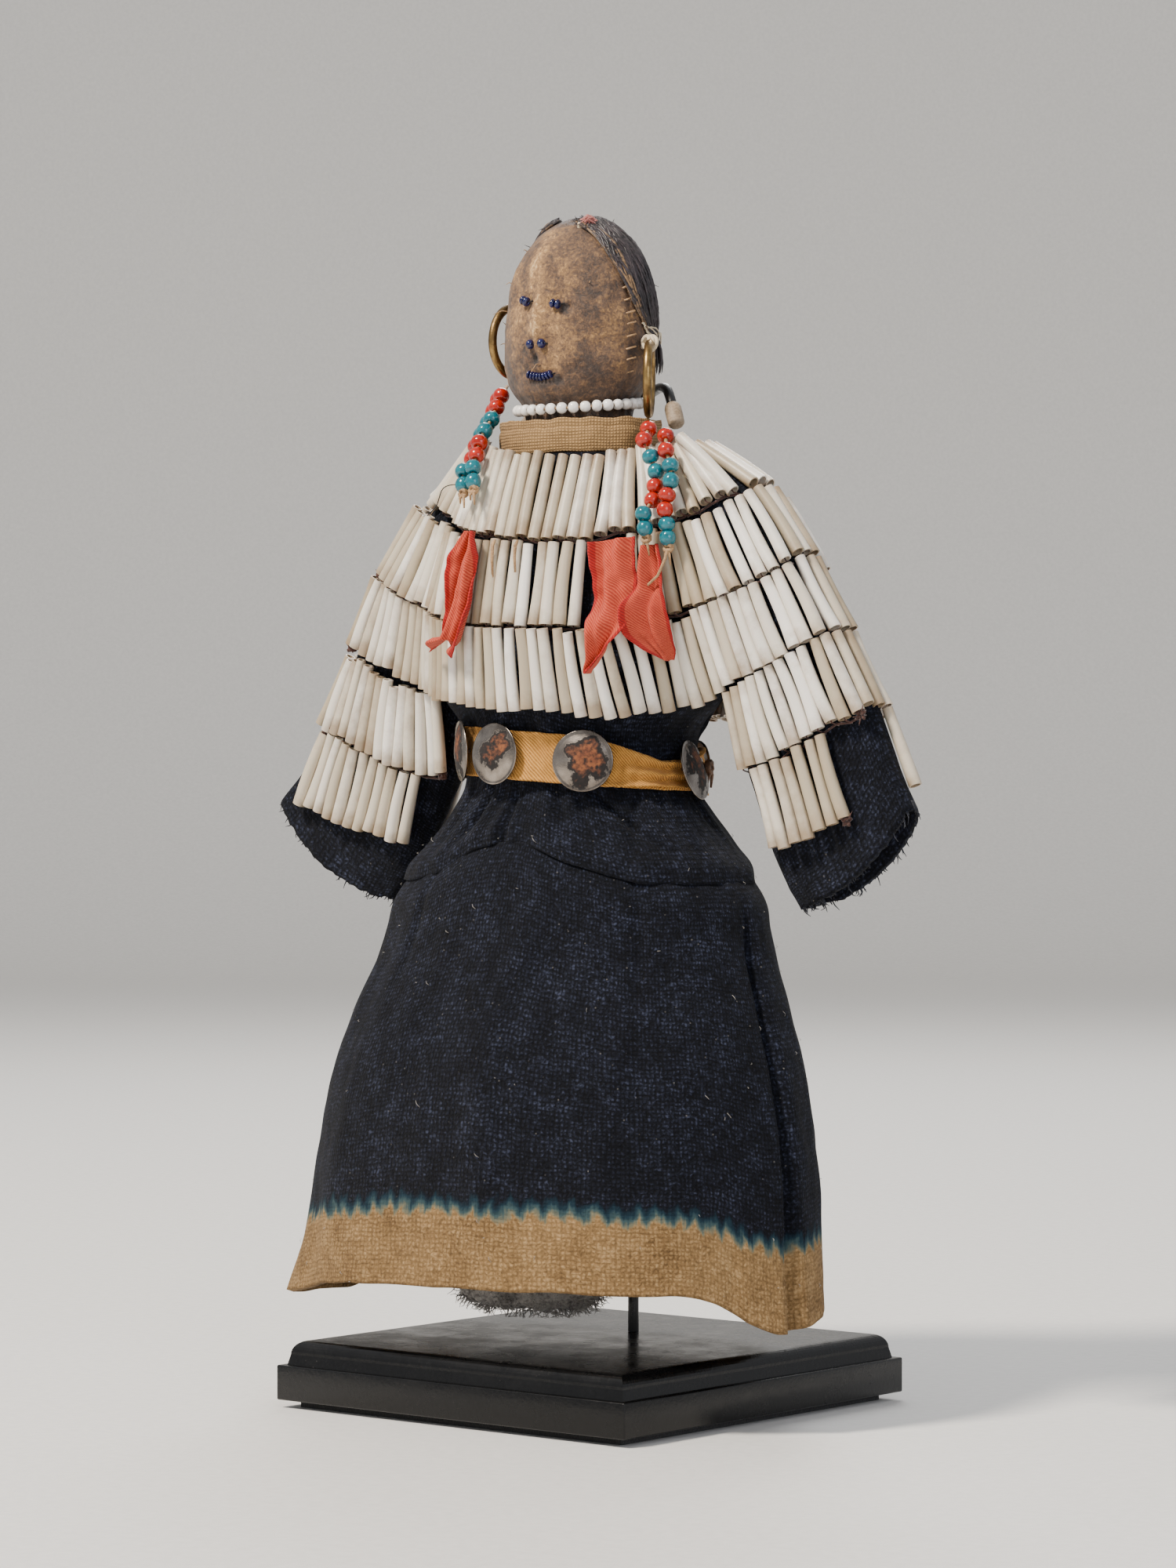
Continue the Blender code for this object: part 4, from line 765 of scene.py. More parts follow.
def head_frame(angle, z):
    """A point of the head's surface and its outward normal."""
    level = head_point(angle + 0.5, z) - head_point(angle - 0.5, z)
    upward = head_point(angle, z + 0.5) - head_point(angle, z - 0.5)
    return head_point(angle, z), level.cross(upward).normalized()


def patch_at(degrees, z, angle, level, wide, tall):
    """How much a spot of the head belongs to a soft round patch."""
    turn = (degrees - angle + 180) % 360 - 180
    return np.exp(-(turn / wide) ** 2 - ((z - level) / tall) ** 2)


SIDE_SEAMS = (-12, -172)
# Patches of the head: angle, height, width in degrees, reach in height, and strength
FACE_RELIEF = [(-89.5, 273.5, 7, 6.5, 1), (-90, 291, 26, 6, 0.5), (-112, 267, 12, 5.5, 0.6),
               (-64, 268, 12, 6, 0.6), (-101.5, 279, 8, 2.6, -0.7), (-73.5, 277.8, 8, 2.6, -0.7),
               (-89, 260, 15, 1.7, -0.7), (-89, 256.6, 18, 2, 0.3), (-94.3, 268, 3, 1.6, -0.35),
               (-84.3, 268, 3, 1.6, -0.35), (-128, 284, 10, 7, 0.5), (-63.5, 277, 2.4, 1.2, -1.2),
               (-92, 264.4, 2.2, 1.2, -1.2), (-70.5, 258.8, 2.2, 1, -1), (-90, 272.5, 2.2, 6, 0.35),
               (-86, 274, 1.6, 6.5, -0.25)]
# Pale patches of the head: rubbing wear, and painted highlight where the brow, nose and cheeks face the light.
WEAR_AND_HIGHLIGHT_PATCHES = [(-96, 289, 12, 6.5, 0.2), (-119, 277, 9, 6, 0.2), (-89.8, 273.5, 4.4, 8, 0.2),
                (-96, 271, 7, 6, 0.16), (-70, 267, 14, 5, 0.12), (-62, 282, 14, 6, 0.08),
                (-116, 265, 7, 6, 0.16), (-103, 284, 4, 7, 0.14), (-78, 262, 9, 3, 0.08)]
# Dark patches of the head: dirt and the darker back hide on the crown and back, a darker ring round the neck, painted
# slit shadow under the mouth, and painted shade in three small dents and down the sides of the face.
SOIL_AND_SHADE_PATCHES = [(-90, 302, 90, 5, 0.2), (-90, 251, 360, 6.5, 0.24), (-130, 262, 12, 7, 0.16),
                  (-45, 275, 14, 16, 0.1), (90, 275, 75, 60, 0.16), (-90, 258.6, 16, 1.6, 0.3),
                  (-63.5, 276.8, 3.2, 1.4, 0.7), (-92, 264.3, 2.6, 1.4, 0.6), (-70.5, 258.7, 3, 1.2, 0.6),
                  (-40, 262, 16, 5, 0.14), (-150, 275, 16, 20, 0.12), (-40, 285, 10, 9, 0.1)]


def build_figure():
    """The stuffed head and body: two hides sewn up the sides, pulled in where beads and threads go through."""
    levels = smooth_curve([(0, 301.9), (0.04, 301), (0.12, 296), (0.72, 250), (0.86, 236), (1, 122)])

    def place(across, down):
        turn = TAU * across - math.pi
        degrees = np.degrees(turn)
        z = levels(down)[:, 0]
        half_width, half_depth, centre = figure(z).T
        ends = np.clip(down / 0.02, 0, 1) * np.clip((1 - down) / 0.002, 0, 1)
        out = sum(patch_at(degrees, z, *row[:4]) * row[4] for row in FACE_RELIEF) + 1.7 * bell(z - 256.3, 3.9)
        x, y = half_width * np.cos(turn), half_depth * np.sin(turn)
        lumps = ripples(x, y, z, (0.42, 8, 3), (0.2, 3.2, 9), (0.07, 1.3, 5))
        puckers = 0.3 * np.sin(turn * 19 + 1.2 * np.sin(turn * 5)) * bell(z - 250, 6)
        seam = -0.55 * sum(bell((degrees - at + 180) % 360 - 180, 3) for at in SIDE_SEAMS)
        out = (out + lumps + puckers + seam * (z > 250)) * np.clip(down / 0.05, 0, 1)
        return np.column_stack([(head_shift(z) + x + out * np.cos(turn)) * ends + head_shift(z) * (1 - ends),
                                centre + (half_depth * np.sin(turn) + out * np.sin(turn)) * ends, z])
    bm = cloth(192, 200, place, (1, 1), closed=True)
    # Each vertex gets its pale patches of wear and painted highlight, and its dark patches of dirt and painted shade.
    for name, patches in (("worn", WEAR_AND_HIGHLIGHT_PATCHES), ("soiled", SOIL_AND_SHADE_PATCHES)):
        layer = bm.verts.layers.float.new(name)
        for vert in bm.verts:
            x, y, z = vert.co.x / MM, vert.co.y / MM, vert.co.z / MM - RISE
            degrees = math.degrees(math.atan2(y + 4, x + 0.8))
            vert[layer] = sum(patch_at(degrees, z, *row[:4]) * row[4] for row in patches)
    made = piece("hide_head_and_body", bm, [hide], ["hide_figure"])


build_figure()


def build_head_stitches():
    """Sinew whipped over the side seams of the head, and the fibres that stick out of the rubbed hide."""
    spread = random.Random(11)
    stitches = []
    for seam in SIDE_SEAMS:
        for i in range(13):
            z = 257.5 + i * 3.1 + spread.uniform(-0.4, 0.4)
            half = 5.2 * 16 / max(8, figure(z)[1])
            course = ((-1, -0.5, -0.2), (-0.8, -0.35, 0.32), (0, 0, 0.1), (0.8, 0.35, 0.32), (1, 0.5, -0.2))
            stitches.append(([head_point(seam + half * k, z + rise, out) for k, rise, out in course], 0.24))
    for angle, z, length in ((-152, 278, 3), (-160, 270, 2.6), (-149, 285, 2.2), (-164, 275, 2.4),
                             (-141, 293, 1.8), (-89, 262.9, 2.2), (-87.5, 262.7, 1.8), (-47, 283, 1.4)):
        here, normal = head_frame(angle, z)
        lean = Vector((spread.uniform(-0.4, 0.4), spread.uniform(-0.4, 0.4), spread.uniform(-0.9, 0.3)))
        stitches.append(([here - normal * 0.3, here + normal * length * 0.5,
                          here + (normal + lean) * length], [0.16, 0.13, 0.05]))
    strands("head_sinew_stitches", stitches, sinew)


build_head_stitches()


# Hair: steps along a lock, half width, how far it sweeps forward, then angle, height and share of the width
HAIR_STEPS = 23
HAIR_HALF_WIDTH = {"left": 6.6, "right": 4.2}
HAIR_FORWARD = {"left": 3, "right": 0}
HAIR_LOCKS = {
    "left": [(-30, 300.4, 0.5), (0, 297, 0.8), (12, 290, 1), (20, 281, 1), (26, 272, 0.7),
             (28, 267.5, 0.3)],
    "right": [(208, 300.4, 0.6), (182, 297.4, 0.9), (164, 291, 1), (150, 283, 1),
              (142, 274, 0.8), (140, 269.5, 0.4)],
}


def build_hair():
    """Each lock is a flat bed of hair under loose strands, bound near its end with cream thread."""
    for word, route in HAIR_LOCKS.items():
        forward = 1 if word == "left" else -1
        frames = []
        for angle, z, share in path_at(route, HAIR_STEPS + 1):
            here, normal = head_frame(angle, z)
            frames.append((here, normal, normal.cross(-UP).normalized(), share))

        def spot(along, across, height):
            i = min(int(along * HAIR_STEPS), HAIR_STEPS - 1)
            k = along * HAIR_STEPS - i
            (here, normal, side, share), (there, normal_2, side_2, share_2) = frames[i], frames[i + 1]
            here, normal, side = here.lerp(there, k), normal.lerp(normal_2, k), side.lerp(side_2, k)
            share += (share_2 - share) * k
            sideways = HAIR_HALF_WIDTH[word] * share * across - forward * share * HAIR_FORWARD[word]
            lift_off = 0.45 + height * share * math.sqrt(max(0, 1 - across * across)) - sideways * sideways / 34
            return here + side * sideways + normal * lift_off

        def bed(across, down):
            turn = across * TAU
            return np.array([spot(float(d), cos(t) * 0.98, 0.55 + 0.5 * sin(t) + 0.12 * sin(9 * t))
                             for t, d in zip(turn, down)])
        bm = cloth(36, 40, bed, (24, 40), closed=True)
        bmesh.ops.holes_fill(bm, edges=bm.edges, sides=0)
        piece(f"hair_bed_{word}", bm, [hair_stuff])
        spread = random.Random(5 if word == "left" else 6)
        paths, faded = [], []
        for number in range(300):
            across = spread.uniform(-1, 1)
            start, end = spread.uniform(0, 0.3), spread.uniform(0.7, 1)
            wave, phase = spread.uniform(0.06, 0.28), spread.uniform(0, TAU)
            height, turns = spread.uniform(0.9, 1.9), spread.uniform(5, 17)
            points = []
            for i in range(12):
                along = start + (end - start) * i / 11
                drift = across + wave * sin(phase + turns * along)
                rise = height * (0.75 + 0.25 * sin(phase * 2 + turns * 1.3 * along))
                points.append(spot(along, max(-1, min(1, drift)), rise))
            shown = faded if across * forward < -0.72 and number % 3 == 0 else paths
            shown.append((points, [0.1] + [spread.uniform(0.17, 0.4)] * 10 + [0.05]))
        for _ in range(34):
            across, along = spread.choice([-1, -0.9, 0.9, 1]), spread.uniform(0.05, 0.85)
            normal = frames[int(along * HAIR_STEPS)][1]
            start = spot(along, across, 0.9)
            way = Vector((spread.uniform(-1, 1), spread.uniform(-1, 1), spread.uniform(-1, 0.3)))
            reach = spread.uniform(1.2, 3)
            paths.append(([start, start + normal * 0.6 + way * reach * 0.5, start + normal * 0.9 + way * reach],
                          [0.14, 0.11, 0.04]))
        tail = frames[-1][0]
        for _ in range(44):
            wide, out = spread.uniform(-2.2, 2.2), spread.uniform(0.4, 2)
            drop = spread.uniform(3, 7)
            start = spot(0.93, spread.uniform(-0.9, 0.9), 1)
            side, normal = frames[-1][2], frames[-1][1]
            points = [start, tail + normal * out + side * wide * 0.5,
                      tail + normal * (out + 0.3) + side * wide - UP * drop * 0.6,
                      tail + normal * out + side * wide * 1.3 - UP * drop]
            paths.append((points, [0.18, 0.18, 0.14, 0.05]))
        strands(f"hair_strands_{word}", paths, hair_stuff, [f"hair_lock_{word}"], sides=0)
        strands(f"hair_faded_strands_{word}", faded, faded_hair, sides=0)
        turns = []
        for k, along in enumerate((0.93, 0.945, 0.96)):
            ring = [spot(min(0.99, along + 0.035 * sin(t + 1.3 * k)), cos(t) * 1.12,
                         1.35 * (0.5 + 0.62 * sin(t))) for t in np.linspace(0, TAU, 15)]
            turns.append((ring, 0.22))
        knot = spot(0.945, 0, 1.6)
        side, normal = frames[-3][2], frames[-3][1]
        for bend, out, aside, drop in ((1, 0.6, 1.6, 2.6), (-0.6, 0.5, -1, 1.9)):
            end = knot + normal * out + side * aside - UP * drop
            turns.append(([knot, knot + normal * 0.7 + side * bend, end], [0.3, 0.28, 0.16]))
        strands(f"hair_tie_{word}", turns, cream_thread)


build_hair()


def build_crown_tuft():
    """A tuft of faded pink wool on the crown, sewn down with a cream knot."""
    here, normal = head_frame(-42, 298.4)
    centre = here + normal * 1.5
    spread = random.Random(8)
    paths = []
    for _ in range(150):
        way = Vector((spread.gauss(0, 1), spread.gauss(0, 1), spread.gauss(0, 1))).normalized()
        way = (way + normal * 0.7).normalized()
        bend = Vector((spread.uniform(-0.5, 0.5), spread.uniform(-0.5, 0.5), -0.4))
        length = spread.uniform(1.2, 2.2)
        paths.append(([centre, centre + way * length * 0.6, centre + (way + bend * 0.5) * length],
                      [0.26, 0.2, 0.08]))
    strands("crown_tuft_wool", paths, pink_wool, ["crown_tuft"], sides=0)
    side = normal.cross(UP).normalized()
    knot = []
    for k in range(3):
        turn = k * TAU / 3
        points = [here + normal * (0.6 + 0.5 * sin(t + turn)) + side * (1.9 + 0.75 * cos(t))
                  + Vector((0, 0, -0.6 + 0.5 * sin(2 * t + turn))) for t in np.linspace(0, TAU, 13)]
        knot.append((points, 0.26))
    strands("crown_knot", knot, cream_thread)


build_crown_tuft()


def build_rings():
    """Rings of bent brass wire, each with its ends meeting, hung on the head by loops of cream thread."""
    for word, centre, heading in (("left", (24, -6, 258.9), 125.5), ("right", (-22.6, -3.6, 271), 90)):
        way = Vector((cos(radians(heading)), sin(radians(heading)), 0))
        flat, middle = Vector((-way.y, way.x, 0)), Vector(centre)
        points = []
        for turn in np.linspace(radians(98), radians(98) + TAU - 0.16, 90):
            wobble = 1 + 0.012 * sin(3 * turn + heading)
            points.append(middle + (way * cos(turn) + UP * sin(turn)) * RING_RADIUS * wobble
                          + flat * 0.35 * sin(turn * 0.5 - 0.8))
        strands(f"brass_ring_{word}", [(points, WIRE_RADIUS)], brass, [f"earring_{word}"], sides=4)
        top = middle + UP * RING_RADIUS
        anchor = head_point(2 if word == "left" else -178, top.z + 0.5, -0.4)
        inward = (anchor - top).normalized()
        thongs = []
        for shift in (-0.8, 0.1, 0.9):
            ring = [top + flat * shift + (inward * cos(t) + UP * sin(t)) * 1.75
                    + flat * 0.25 * sin(2 * t + shift) for t in np.linspace(0, TAU, 14)]
            thongs.append((ring, 0.5))
        thongs.append(([top + UP * 1.6, top.lerp(anchor, 0.5) + UP * 1.3, anchor], 0.6))
        thongs.append(([top + inward * 1.5, top.lerp(anchor, 0.6) - UP * 0.4, anchor - UP * 1.2], 0.55))
        thongs.append(([top - inward * 1.4, top - inward * 2.3 - UP * 0.9 + flat * 0.5,
                        top - inward * 2.6 - UP * 3 + flat * 0.8], [0.5, 0.42, 0.2]))
        strands(f"ring_thong_{word}", thongs, cream_thread, sides=2)


build_rings()


# Beads

bead_pattern = pattern_mesh("bead_pattern", turned([(0.27, -0.86), (0.52, -0.8), (0.8, -0.6), (0.96, -0.3), (1, 0),
                                                    (0.96, 0.3), (0.8, 0.6), (0.52, 0.8), (0.27, 0.86),
                                                    (0.2, 0.5), (0.2, -0.5), (0.27, -0.86)], 16))


def add_copy(bm, pattern, matrix, material=0):
    """Adds a pattern shape to a piece, moved into place, and gives back its new verts."""
    count, faces = len(bm.verts), len(bm.faces)
    bm.from_mesh(pattern)
    bm.verts.ensure_lookup_table()
    bm.faces.ensure_lookup_table()
    new = bm.verts[count:]
    bmesh.ops.transform(bm, matrix=matrix, verts=new)
    for face in bm.faces[faces:]:
        face.material_index = material
    return new


def string_beads(name, spots, radius, length, materials, nodes, closed=False):
    """Beads on a string, with their holes along it. Two colours take turns in pairs."""
    bm = bmesh.new()
    spots = [Vector(spot) for spot in spots]
    spread = random.Random(len(spots))
    for i, spot in enumerate(spots):
        before = spots[i - 1] if i or closed else spot
        after = spots[(i + 1) % len(spots)] if i < len(spots) - 1 or closed else spot
        run = (after - before).normalized() + jitter(spread, 0.09)
        wide, long = radius * spread.uniform(0.94, 1.02), length * spread.uniform(0.92, 1.03)
        size = Matrix.Diagonal((wide, wide, long, 1))
        add_copy(bm, bead_pattern, stand_at(spot, run) @ size, i // 2 % len(materials))
    return piece(name, bm, materials, nodes, outward=False)


def necklace_spots(count):
    turns = [TAU * i / count - math.pi for i in range(count)]
    return [(NECKLACE_HALF_WIDTH * cos(a), -5 + NECKLACE_HALF_DEPTH * sin(a), NECKLACE_LEVEL + 1.4 * sin(a))
            for a in turns]


string_beads("necklace_beads", necklace_spots(33), NECK_BEAD * 1.03, 1.6, [white_glass], ["necklace"],
             closed=True)
strands("necklace_thread", [(necklace_spots(66) + necklace_spots(66)[:1], 0.3)], sinew)

FACE_BEADS = {
    "eye_beads_left": [(-75.6, 277.9), (-71.6, 277.6)],
    "eye_beads_right": [(-103.6, 279.3), (-99.6, 278.8)],
    "nostril_bead_left": [(-84.3, 267.9)],
    "nostril_bead_right": [(-94.3, 267.9)],
    "mouth_beads": [(-99.2, 260.4), (-96.3, 260.1), (-93.4, 259.85), (-90.5, 259.7), (-87.6, 259.65), (-84.7, 259.7),
                    (-81.8, 259.9), (-78.9, 260.2)],
}


def build_face_beads():
    """Dark blue glass beads sewn on as eyes, nostrils and mouth, with the thread at their ends."""
    threads = []
    for name, places in FACE_BEADS.items():
        spots = [head_point(angle, z, 0.75) for angle, z in places]
        if len(spots) == 1:
            angle, z = places[0]
            bm = bmesh.new()
            size = Matrix.Diagonal((1.22, 1.22, 1.1, 1))
            add_copy(bm, bead_pattern, stand_at(spots[0], (1, 0, 0.1)) @ size)
            piece(name + "_glass", bm, [blue_glass], [name], outward=False)
            threads.append(([head_point(angle - 3.6, z, -0.2), spots[0], head_point(angle + 3.6, z, -0.2)], 0.2))
            continue
        radius, long = (1.25, 0.76) if "eye" in name else (1.08, 0.5)
        string_beads(name + "_glass", spots, radius, long, [blue_glass], [name])
        (first, z_first), (last, z_last) = places[0], places[-1]
        threads.append(([head_point(first - 4.5, z_first + 0.2, -0.1)] + spots
                        + [head_point(last + 4.5, z_last + 0.2, -0.1)], 0.22))
    strands("face_bead_thread", threads, dark_thread)


build_face_beads()


# Collar, bodice and sleeves

def build_collar():
    """A strip of tan cotton canvas sewn round the neck, its lower edge turned under."""
    def place(across, down):
        turn = TAU * across - math.pi
        z = NECK_LEVEL + 0.35 + COLLAR_HEIGHT * (1 - down)
        wave = round_ripples(turn, down * 5, 20, (0.75, 6, 2)) + round_ripples(turn, down * 8, 20, (0.3, 2.2, 5))
        out = 0.35 * np.sin(math.pi * down) + wave * (0.5 + 0.5 * (1 - down)) - 0.3 * bell(down - 0.24, 0.05)
        return np.column_stack([(COLLAR_HALF_WIDTH + out) * np.cos(turn),
                                -4.6 + (COLLAR_HALF_DEPTH + out) * np.sin(turn),
                                z + 0.8 * wave * (1 - down) - 0.35 * wave * down])
    bm = cloth(220, 20, place, (124, 9), closed=True)
    made = thicken(piece("collar_canvas", bm, [canvas], ["collar_band"]), CANVAS)


build_collar()


def on_garment(turn, z, out=0):
    """A spot of the dress's plain outline, out from it, and the way out."""
    half_width, half_depth, centre = garment(z)
    normal = Vector((cos(turn) / half_width, sin(turn) / half_depth, 0)).normalized()
    return Vector(((half_width + out) * cos(turn), centre + (half_depth + out) * sin(turn), z)), normal


def around_garment(turn, z, out=0):
    half_width, half_depth, centre = garment(z).T
    return np.column_stack([(half_width + out) * np.cos(turn), centre + (half_depth + out) * np.sin(turn), z])


# Creases below the belt: angle, slant in degrees a millimetre, height, depth, width in degrees and reach
BODICE_CREASES = [(-93, 0.1, 146, 1.7, 2, 8), (-47, -1.6, 150, 1.9, 2.6, 8),
                  (-36, 0.8, 147, 0.9, 2.6, 9), (-112, 0.5, 148, 1.1, 2.4, 7),
                  (-70, -0.6, 152, 0.8, 2, 5), (-14, 0.3, 146, 1.2, 2.6, 8),
                  (40, 0.6, 147, 1.3, 2.6, 9), (92, -0.4, 148, 1.2, 2.4, 8),
                  (150, 0.5, 147, 1.3, 2.6, 9)]


def build_bodice():
    """The body of the dress, gathered where the belt draws it in and blousing out over the seam with the skirt."""
    def place(across, down):
        turn = TAU * across - math.pi
        low = hip_seam(np.degrees(turn))[:, 0] - 0.5
        z = NECK_LEVEL + (low - NECK_LEVEL) * down
        near_belt = bell(z - 150, 8)
        folds = np.sin(turn * 19 + 2.6 * np.sin(turn * 4 + 1)) + 0.7 * np.sin(turn * 31 + 2 * np.sin(turn * 6))
        below = np.clip((170 - z) / 6, 0, 1)
        soft = round_ripples(turn, z * 0.7, 40, (1.3, 9, 4)) + round_ripples(turn, z * 0.5, 40, (0.5, 4.5, 1))
        degrees = np.degrees(turn)
        creases = sum(1.6 * deep * bell(degrees - at - slant * (z - 150), wide) * bell(z - level, tall)
                      for at, slant, level, deep, wide, tall in BODICE_CREASES)
        blouse = 1.5 * bell(z - 171.5, 3.2) * (0.7 + 0.5 * np.sin(turn * 13 + 1.7 * np.sin(turn * 5)))
        blouse = blouse * np.where(np.abs(np.sin(turn)) > 0.5, 1, 0.4)
        puff = 1.3 * bell(z - low - 4.4, 3.6) - 0.25 * bell(z - low, 1.6)
        out = below * (0.55 * folds * near_belt + soft * 0.75) + puff + blouse - creases
        return around_garment(turn, z, out + round_ripples(turn, z, 40, (0.12, 5, 7)))
    bm = cloth(300, 150, place, (300, 110), closed=True)
    made = thicken(piece("dress_bodice", bm, [navy], ["dress_top"]), WOOL)


build_bodice()


def sleeve_spots(side, share, turn, slack=0):
    """Spots of a sleeve: share of the way to the cuff, and the turn round it from the inner fold by the front."""
    outer_x, outer_z, inner_x, inner_z = sleeve_at[side](share).T
    fold_x, fold_z = outer_x - inner_x, outer_z - inner_z
    width = np.hypot(fold_x, fold_z)
    along_x, along_z = fold_z / width, -fold_x / width
    flip = np.where(along_z < 0, 1, -1)
    along_x, along_z = along_x * flip, along_z * flip
    across = 0.5 - 0.5 * np.cos(turn)
    bow = CUFF_BOW * share * share * 4 * across * (1 - across) + slack
    x = inner_x + fold_x * across + along_x * bow
    z = inner_z + fold_z * across + along_z * bow
    depth = sleeve_half_depth(side, x, z)
    edge = np.clip(np.abs(np.sin(turn)) / sin(radians(20)), 0, 1)
    round_off = np.sqrt(np.maximum(0, 1 - (1 - edge) ** 2))
    push = SLEEVE_FOLD * 0.45 * (1 - edge) * np.sign(across - 0.5)
    x, z = x + fold_x / width * push, z + fold_z / width * push
    y = SLEEVE_CENTRE - np.sign(np.sin(turn)) * depth * round_off
    return np.column_stack([x * side, y, z])


def build_sleeve(side, word):
    """A flat open sleeve folded from one width of cloth, with its raw edge at the cuff."""
    def place(across, down):
        turn = TAU * across
        share = 0.03 + 0.97 * down
        ragged = round_ripples(turn, 0, 20, (0.7, 3, side * 7), (0.4, 0.9, side * 3))
        near_cuff = np.clip((share - 0.9) / 0.1, 0, 1)
        spots = sleeve_spots(side, share, turn, ragged * near_cuff)
        low = np.clip((168 - spots[:, 2]) / 12, 0, 1)
        billow = ripples(*spots.T, (0.6, 11, 5), (0.15, 3, 2))
        mouth = near_cuff * np.abs(np.sin(turn)) * 0.5
        spots[:, 1] += -np.sign(np.sin(turn)) * (billow * low + mouth)
        return spots
    bm = cloth(132, 110, place, (88, 110), closed=True)
    made = thicken(piece(f"dress_sleeve_{word}", bm, [navy], ["dress_top"]), WOOL)
    spread = random.Random(21 + side)
    fringe = []
    for _ in range(110):
        turn = np.array([spread.uniform(0, TAU)])
        here, there = (sleeve_spots(side, np.array([share]), turn)[0] for share in (0.985, 1))
        run = (there - here) / np.linalg.norm(there - here)
        inward = np.array([0, math.copysign(0.8, here[1] - SLEEVE_CENTRE) * -1, 0])
        length = spread.choice([0.4, 0.7, 1.1, 2])
        bend = np.array([spread.uniform(-0.6, 0.6), spread.uniform(-0.5, 0.5), spread.uniform(-0.5, 0.3)])
        fringe.append(([here + inward, there + inward, there + inward + run * length * 0.6,
                        there + inward + (run + bend) * length], [0.2, 0.2, 0.17, 0.07]))
    fray = strands(f"cuff_fray_{word}", fringe, navy_fibre, sides=0)


build_sleeve(1, "left")
build_sleeve(-1, "right")


# Skirt and stuffing

def skirt_shape(turn, z):
    """How far the skirt stands out from its plain outline: soft folds, a pleat and a flared corner."""
    degrees = np.degrees(turn)
    low = np.clip((130 - z) / 100, 0, 1)
    folds = 0.9 * low * np.sin(turn * 5 + 0.6) + 0.6 * low * np.sin(turn * 9 + 2)
    pleat = -PLEAT_DEPTH * bell(degrees - PLEAT_ANGLE, PLEAT_SPREAD) * np.minimum(1, low * 5)
    drop = np.maximum(0, (62 - z) / 38) ** 2
    return folds + pleat + CORNER_FLARE * bell(degrees - CORNER_ANGLE, CORNER_SPREAD) * drop


def build_skirt():
    """The skirt, cut to the edge of the cloth so that the tan selvage makes its hem."""
    def place(across, down):
        turn = TAU * across - math.pi
        degrees = np.degrees(turn)
        top, low = hip_seam(degrees)[:, 0] - 0.15, hem_height(degrees)[:, 0]
        z = top + (low - top) * down
        creases = -0.9 * bell(degrees + 121 + 4 * down, 2) * bell(down - 0.12, 0.14)
        creases = creases - 0.9 * bell(degrees + 46 + 30 * (down - 0.1) ** 2, 2.2) * bell(down - 0.14, 0.16)
        soft = round_ripples(turn, z * 0.35, 60, (0.9, 13, 2)) + round_ripples(turn, z * 0.6, 60, (0.3, 5, 6))
        tuck = -0.45 * bell(down, 0.02) + 0.5 * bell(down - 0.06, 0.035)
        wave = round_ripples(turn, 3, 60, (0.5, 9, 8)) * down ** 3
        spots = around_garment(turn, z, skirt_shape(turn, z) + soft * np.clip(down * 6, 0, 1) + creases + tuck)
        spots[:, 2] += wave
        return spots
    bm = cloth(360, 130, place, (390, 108), closed=True)
    made = thicken(piece("dress_skirt", bm, [navy_list], ["skirt"]), SKIRT_WOOL)


build_skirt()


def build_wadding():
    """The fleece stuffed under the skirt: a lumpy bundle with loose fibres below the hem."""
    rows = [(22.4, 11, 9, -13, -8), (24.6, 17.5, 13, -13, -8), (30, 21, 17, -12.6, -8.4),
            (50, 26, 18.5, -9, -8), (80, 30, 19, -4, -6.5), (105, 29, 17, -1, -4.5),
            (121.65, 26, 14, 0, -3)]
    bundle = smooth_curve(rows)

    def place(across, down):
        turn = TAU * across
        z = 121.6 + (22.4 - 121.6) * down ** 0.8
        half_width, half_depth, x, y = bundle(z).T
        ends = np.minimum(1, np.minimum(down, 1 - down) / 0.015) ** 0.5
        a, b = half_width * np.cos(turn), half_depth * np.sin(turn)
        lumps = ripples(a, b, z, (2, 7, 1), (1.1, 2.6, 4))
        hang = ripples(a, b, 0, (0.9, 6, 7), (0.5, 2.2, 3))
        z = z + np.maximum(hang, -1.4) * np.clip((down - 0.86) / 0.1, 0, 1)
        return np.column_stack([x + (half_width + lumps) * np.cos(turn) * ends,
                                y + (half_depth + lumps) * np.sin(turn) * ends, z])
    bm = cloth(120, 130, place, (1, 1), closed=True)
    made = piece("fleece_wadding", bm, [fleece], ["wool_wadding"])
    spread = random.Random(31)
    paths = []
    for _ in range(1500):
        turn, z = spread.uniform(0, TAU), 22.8 + 20 * spread.random() ** 2
        half_width, half_depth, x, y = bundle(z)
        here = Vector((x + half_width * cos(turn), y + half_depth * sin(turn), z))
        run = Vector((cos(turn) * 0.7, sin(turn) * 0.7, spread.uniform(-0.9, 0.2)))
        points = [here]
        for _ in range(5):
            run = (run + jitter(spread, 0.8)).normalized()
            points.append(points[-1] + run * spread.uniform(0.4, 1.1))
        points = [Vector((p.x, p.y, max(p.z, 21.2))) for p in points]
        paths.append((points, [0.14, 0.12, 0.11, 0.1, 0.08, 0.04]))
    strands("fleece_fibres", paths, fleece, sides=0)


build_wadding()


# Belt

def belt_level(turn):
    """The belt's middle height, lower towards the figure's left and front."""
    return BELT_LEVEL - BELT_TILT * (0.77 * 33 * np.cos(turn) + 0.64 * 24.3 * np.sin(turn))


# Creases across the belt: angle, depth and width in degrees
BELT_CREASES = [(-47, 1, 1.6), (-39, 0.9, 1.3), (-31, 0.8, 1.6), (-112, 0.5, 1.6), (-78, 0.35, 1.6),
                (-16, 0.6, 1.6), (28, 0.5, 1.6), (84, 0.5, 2), (136, 0.5, 2)]


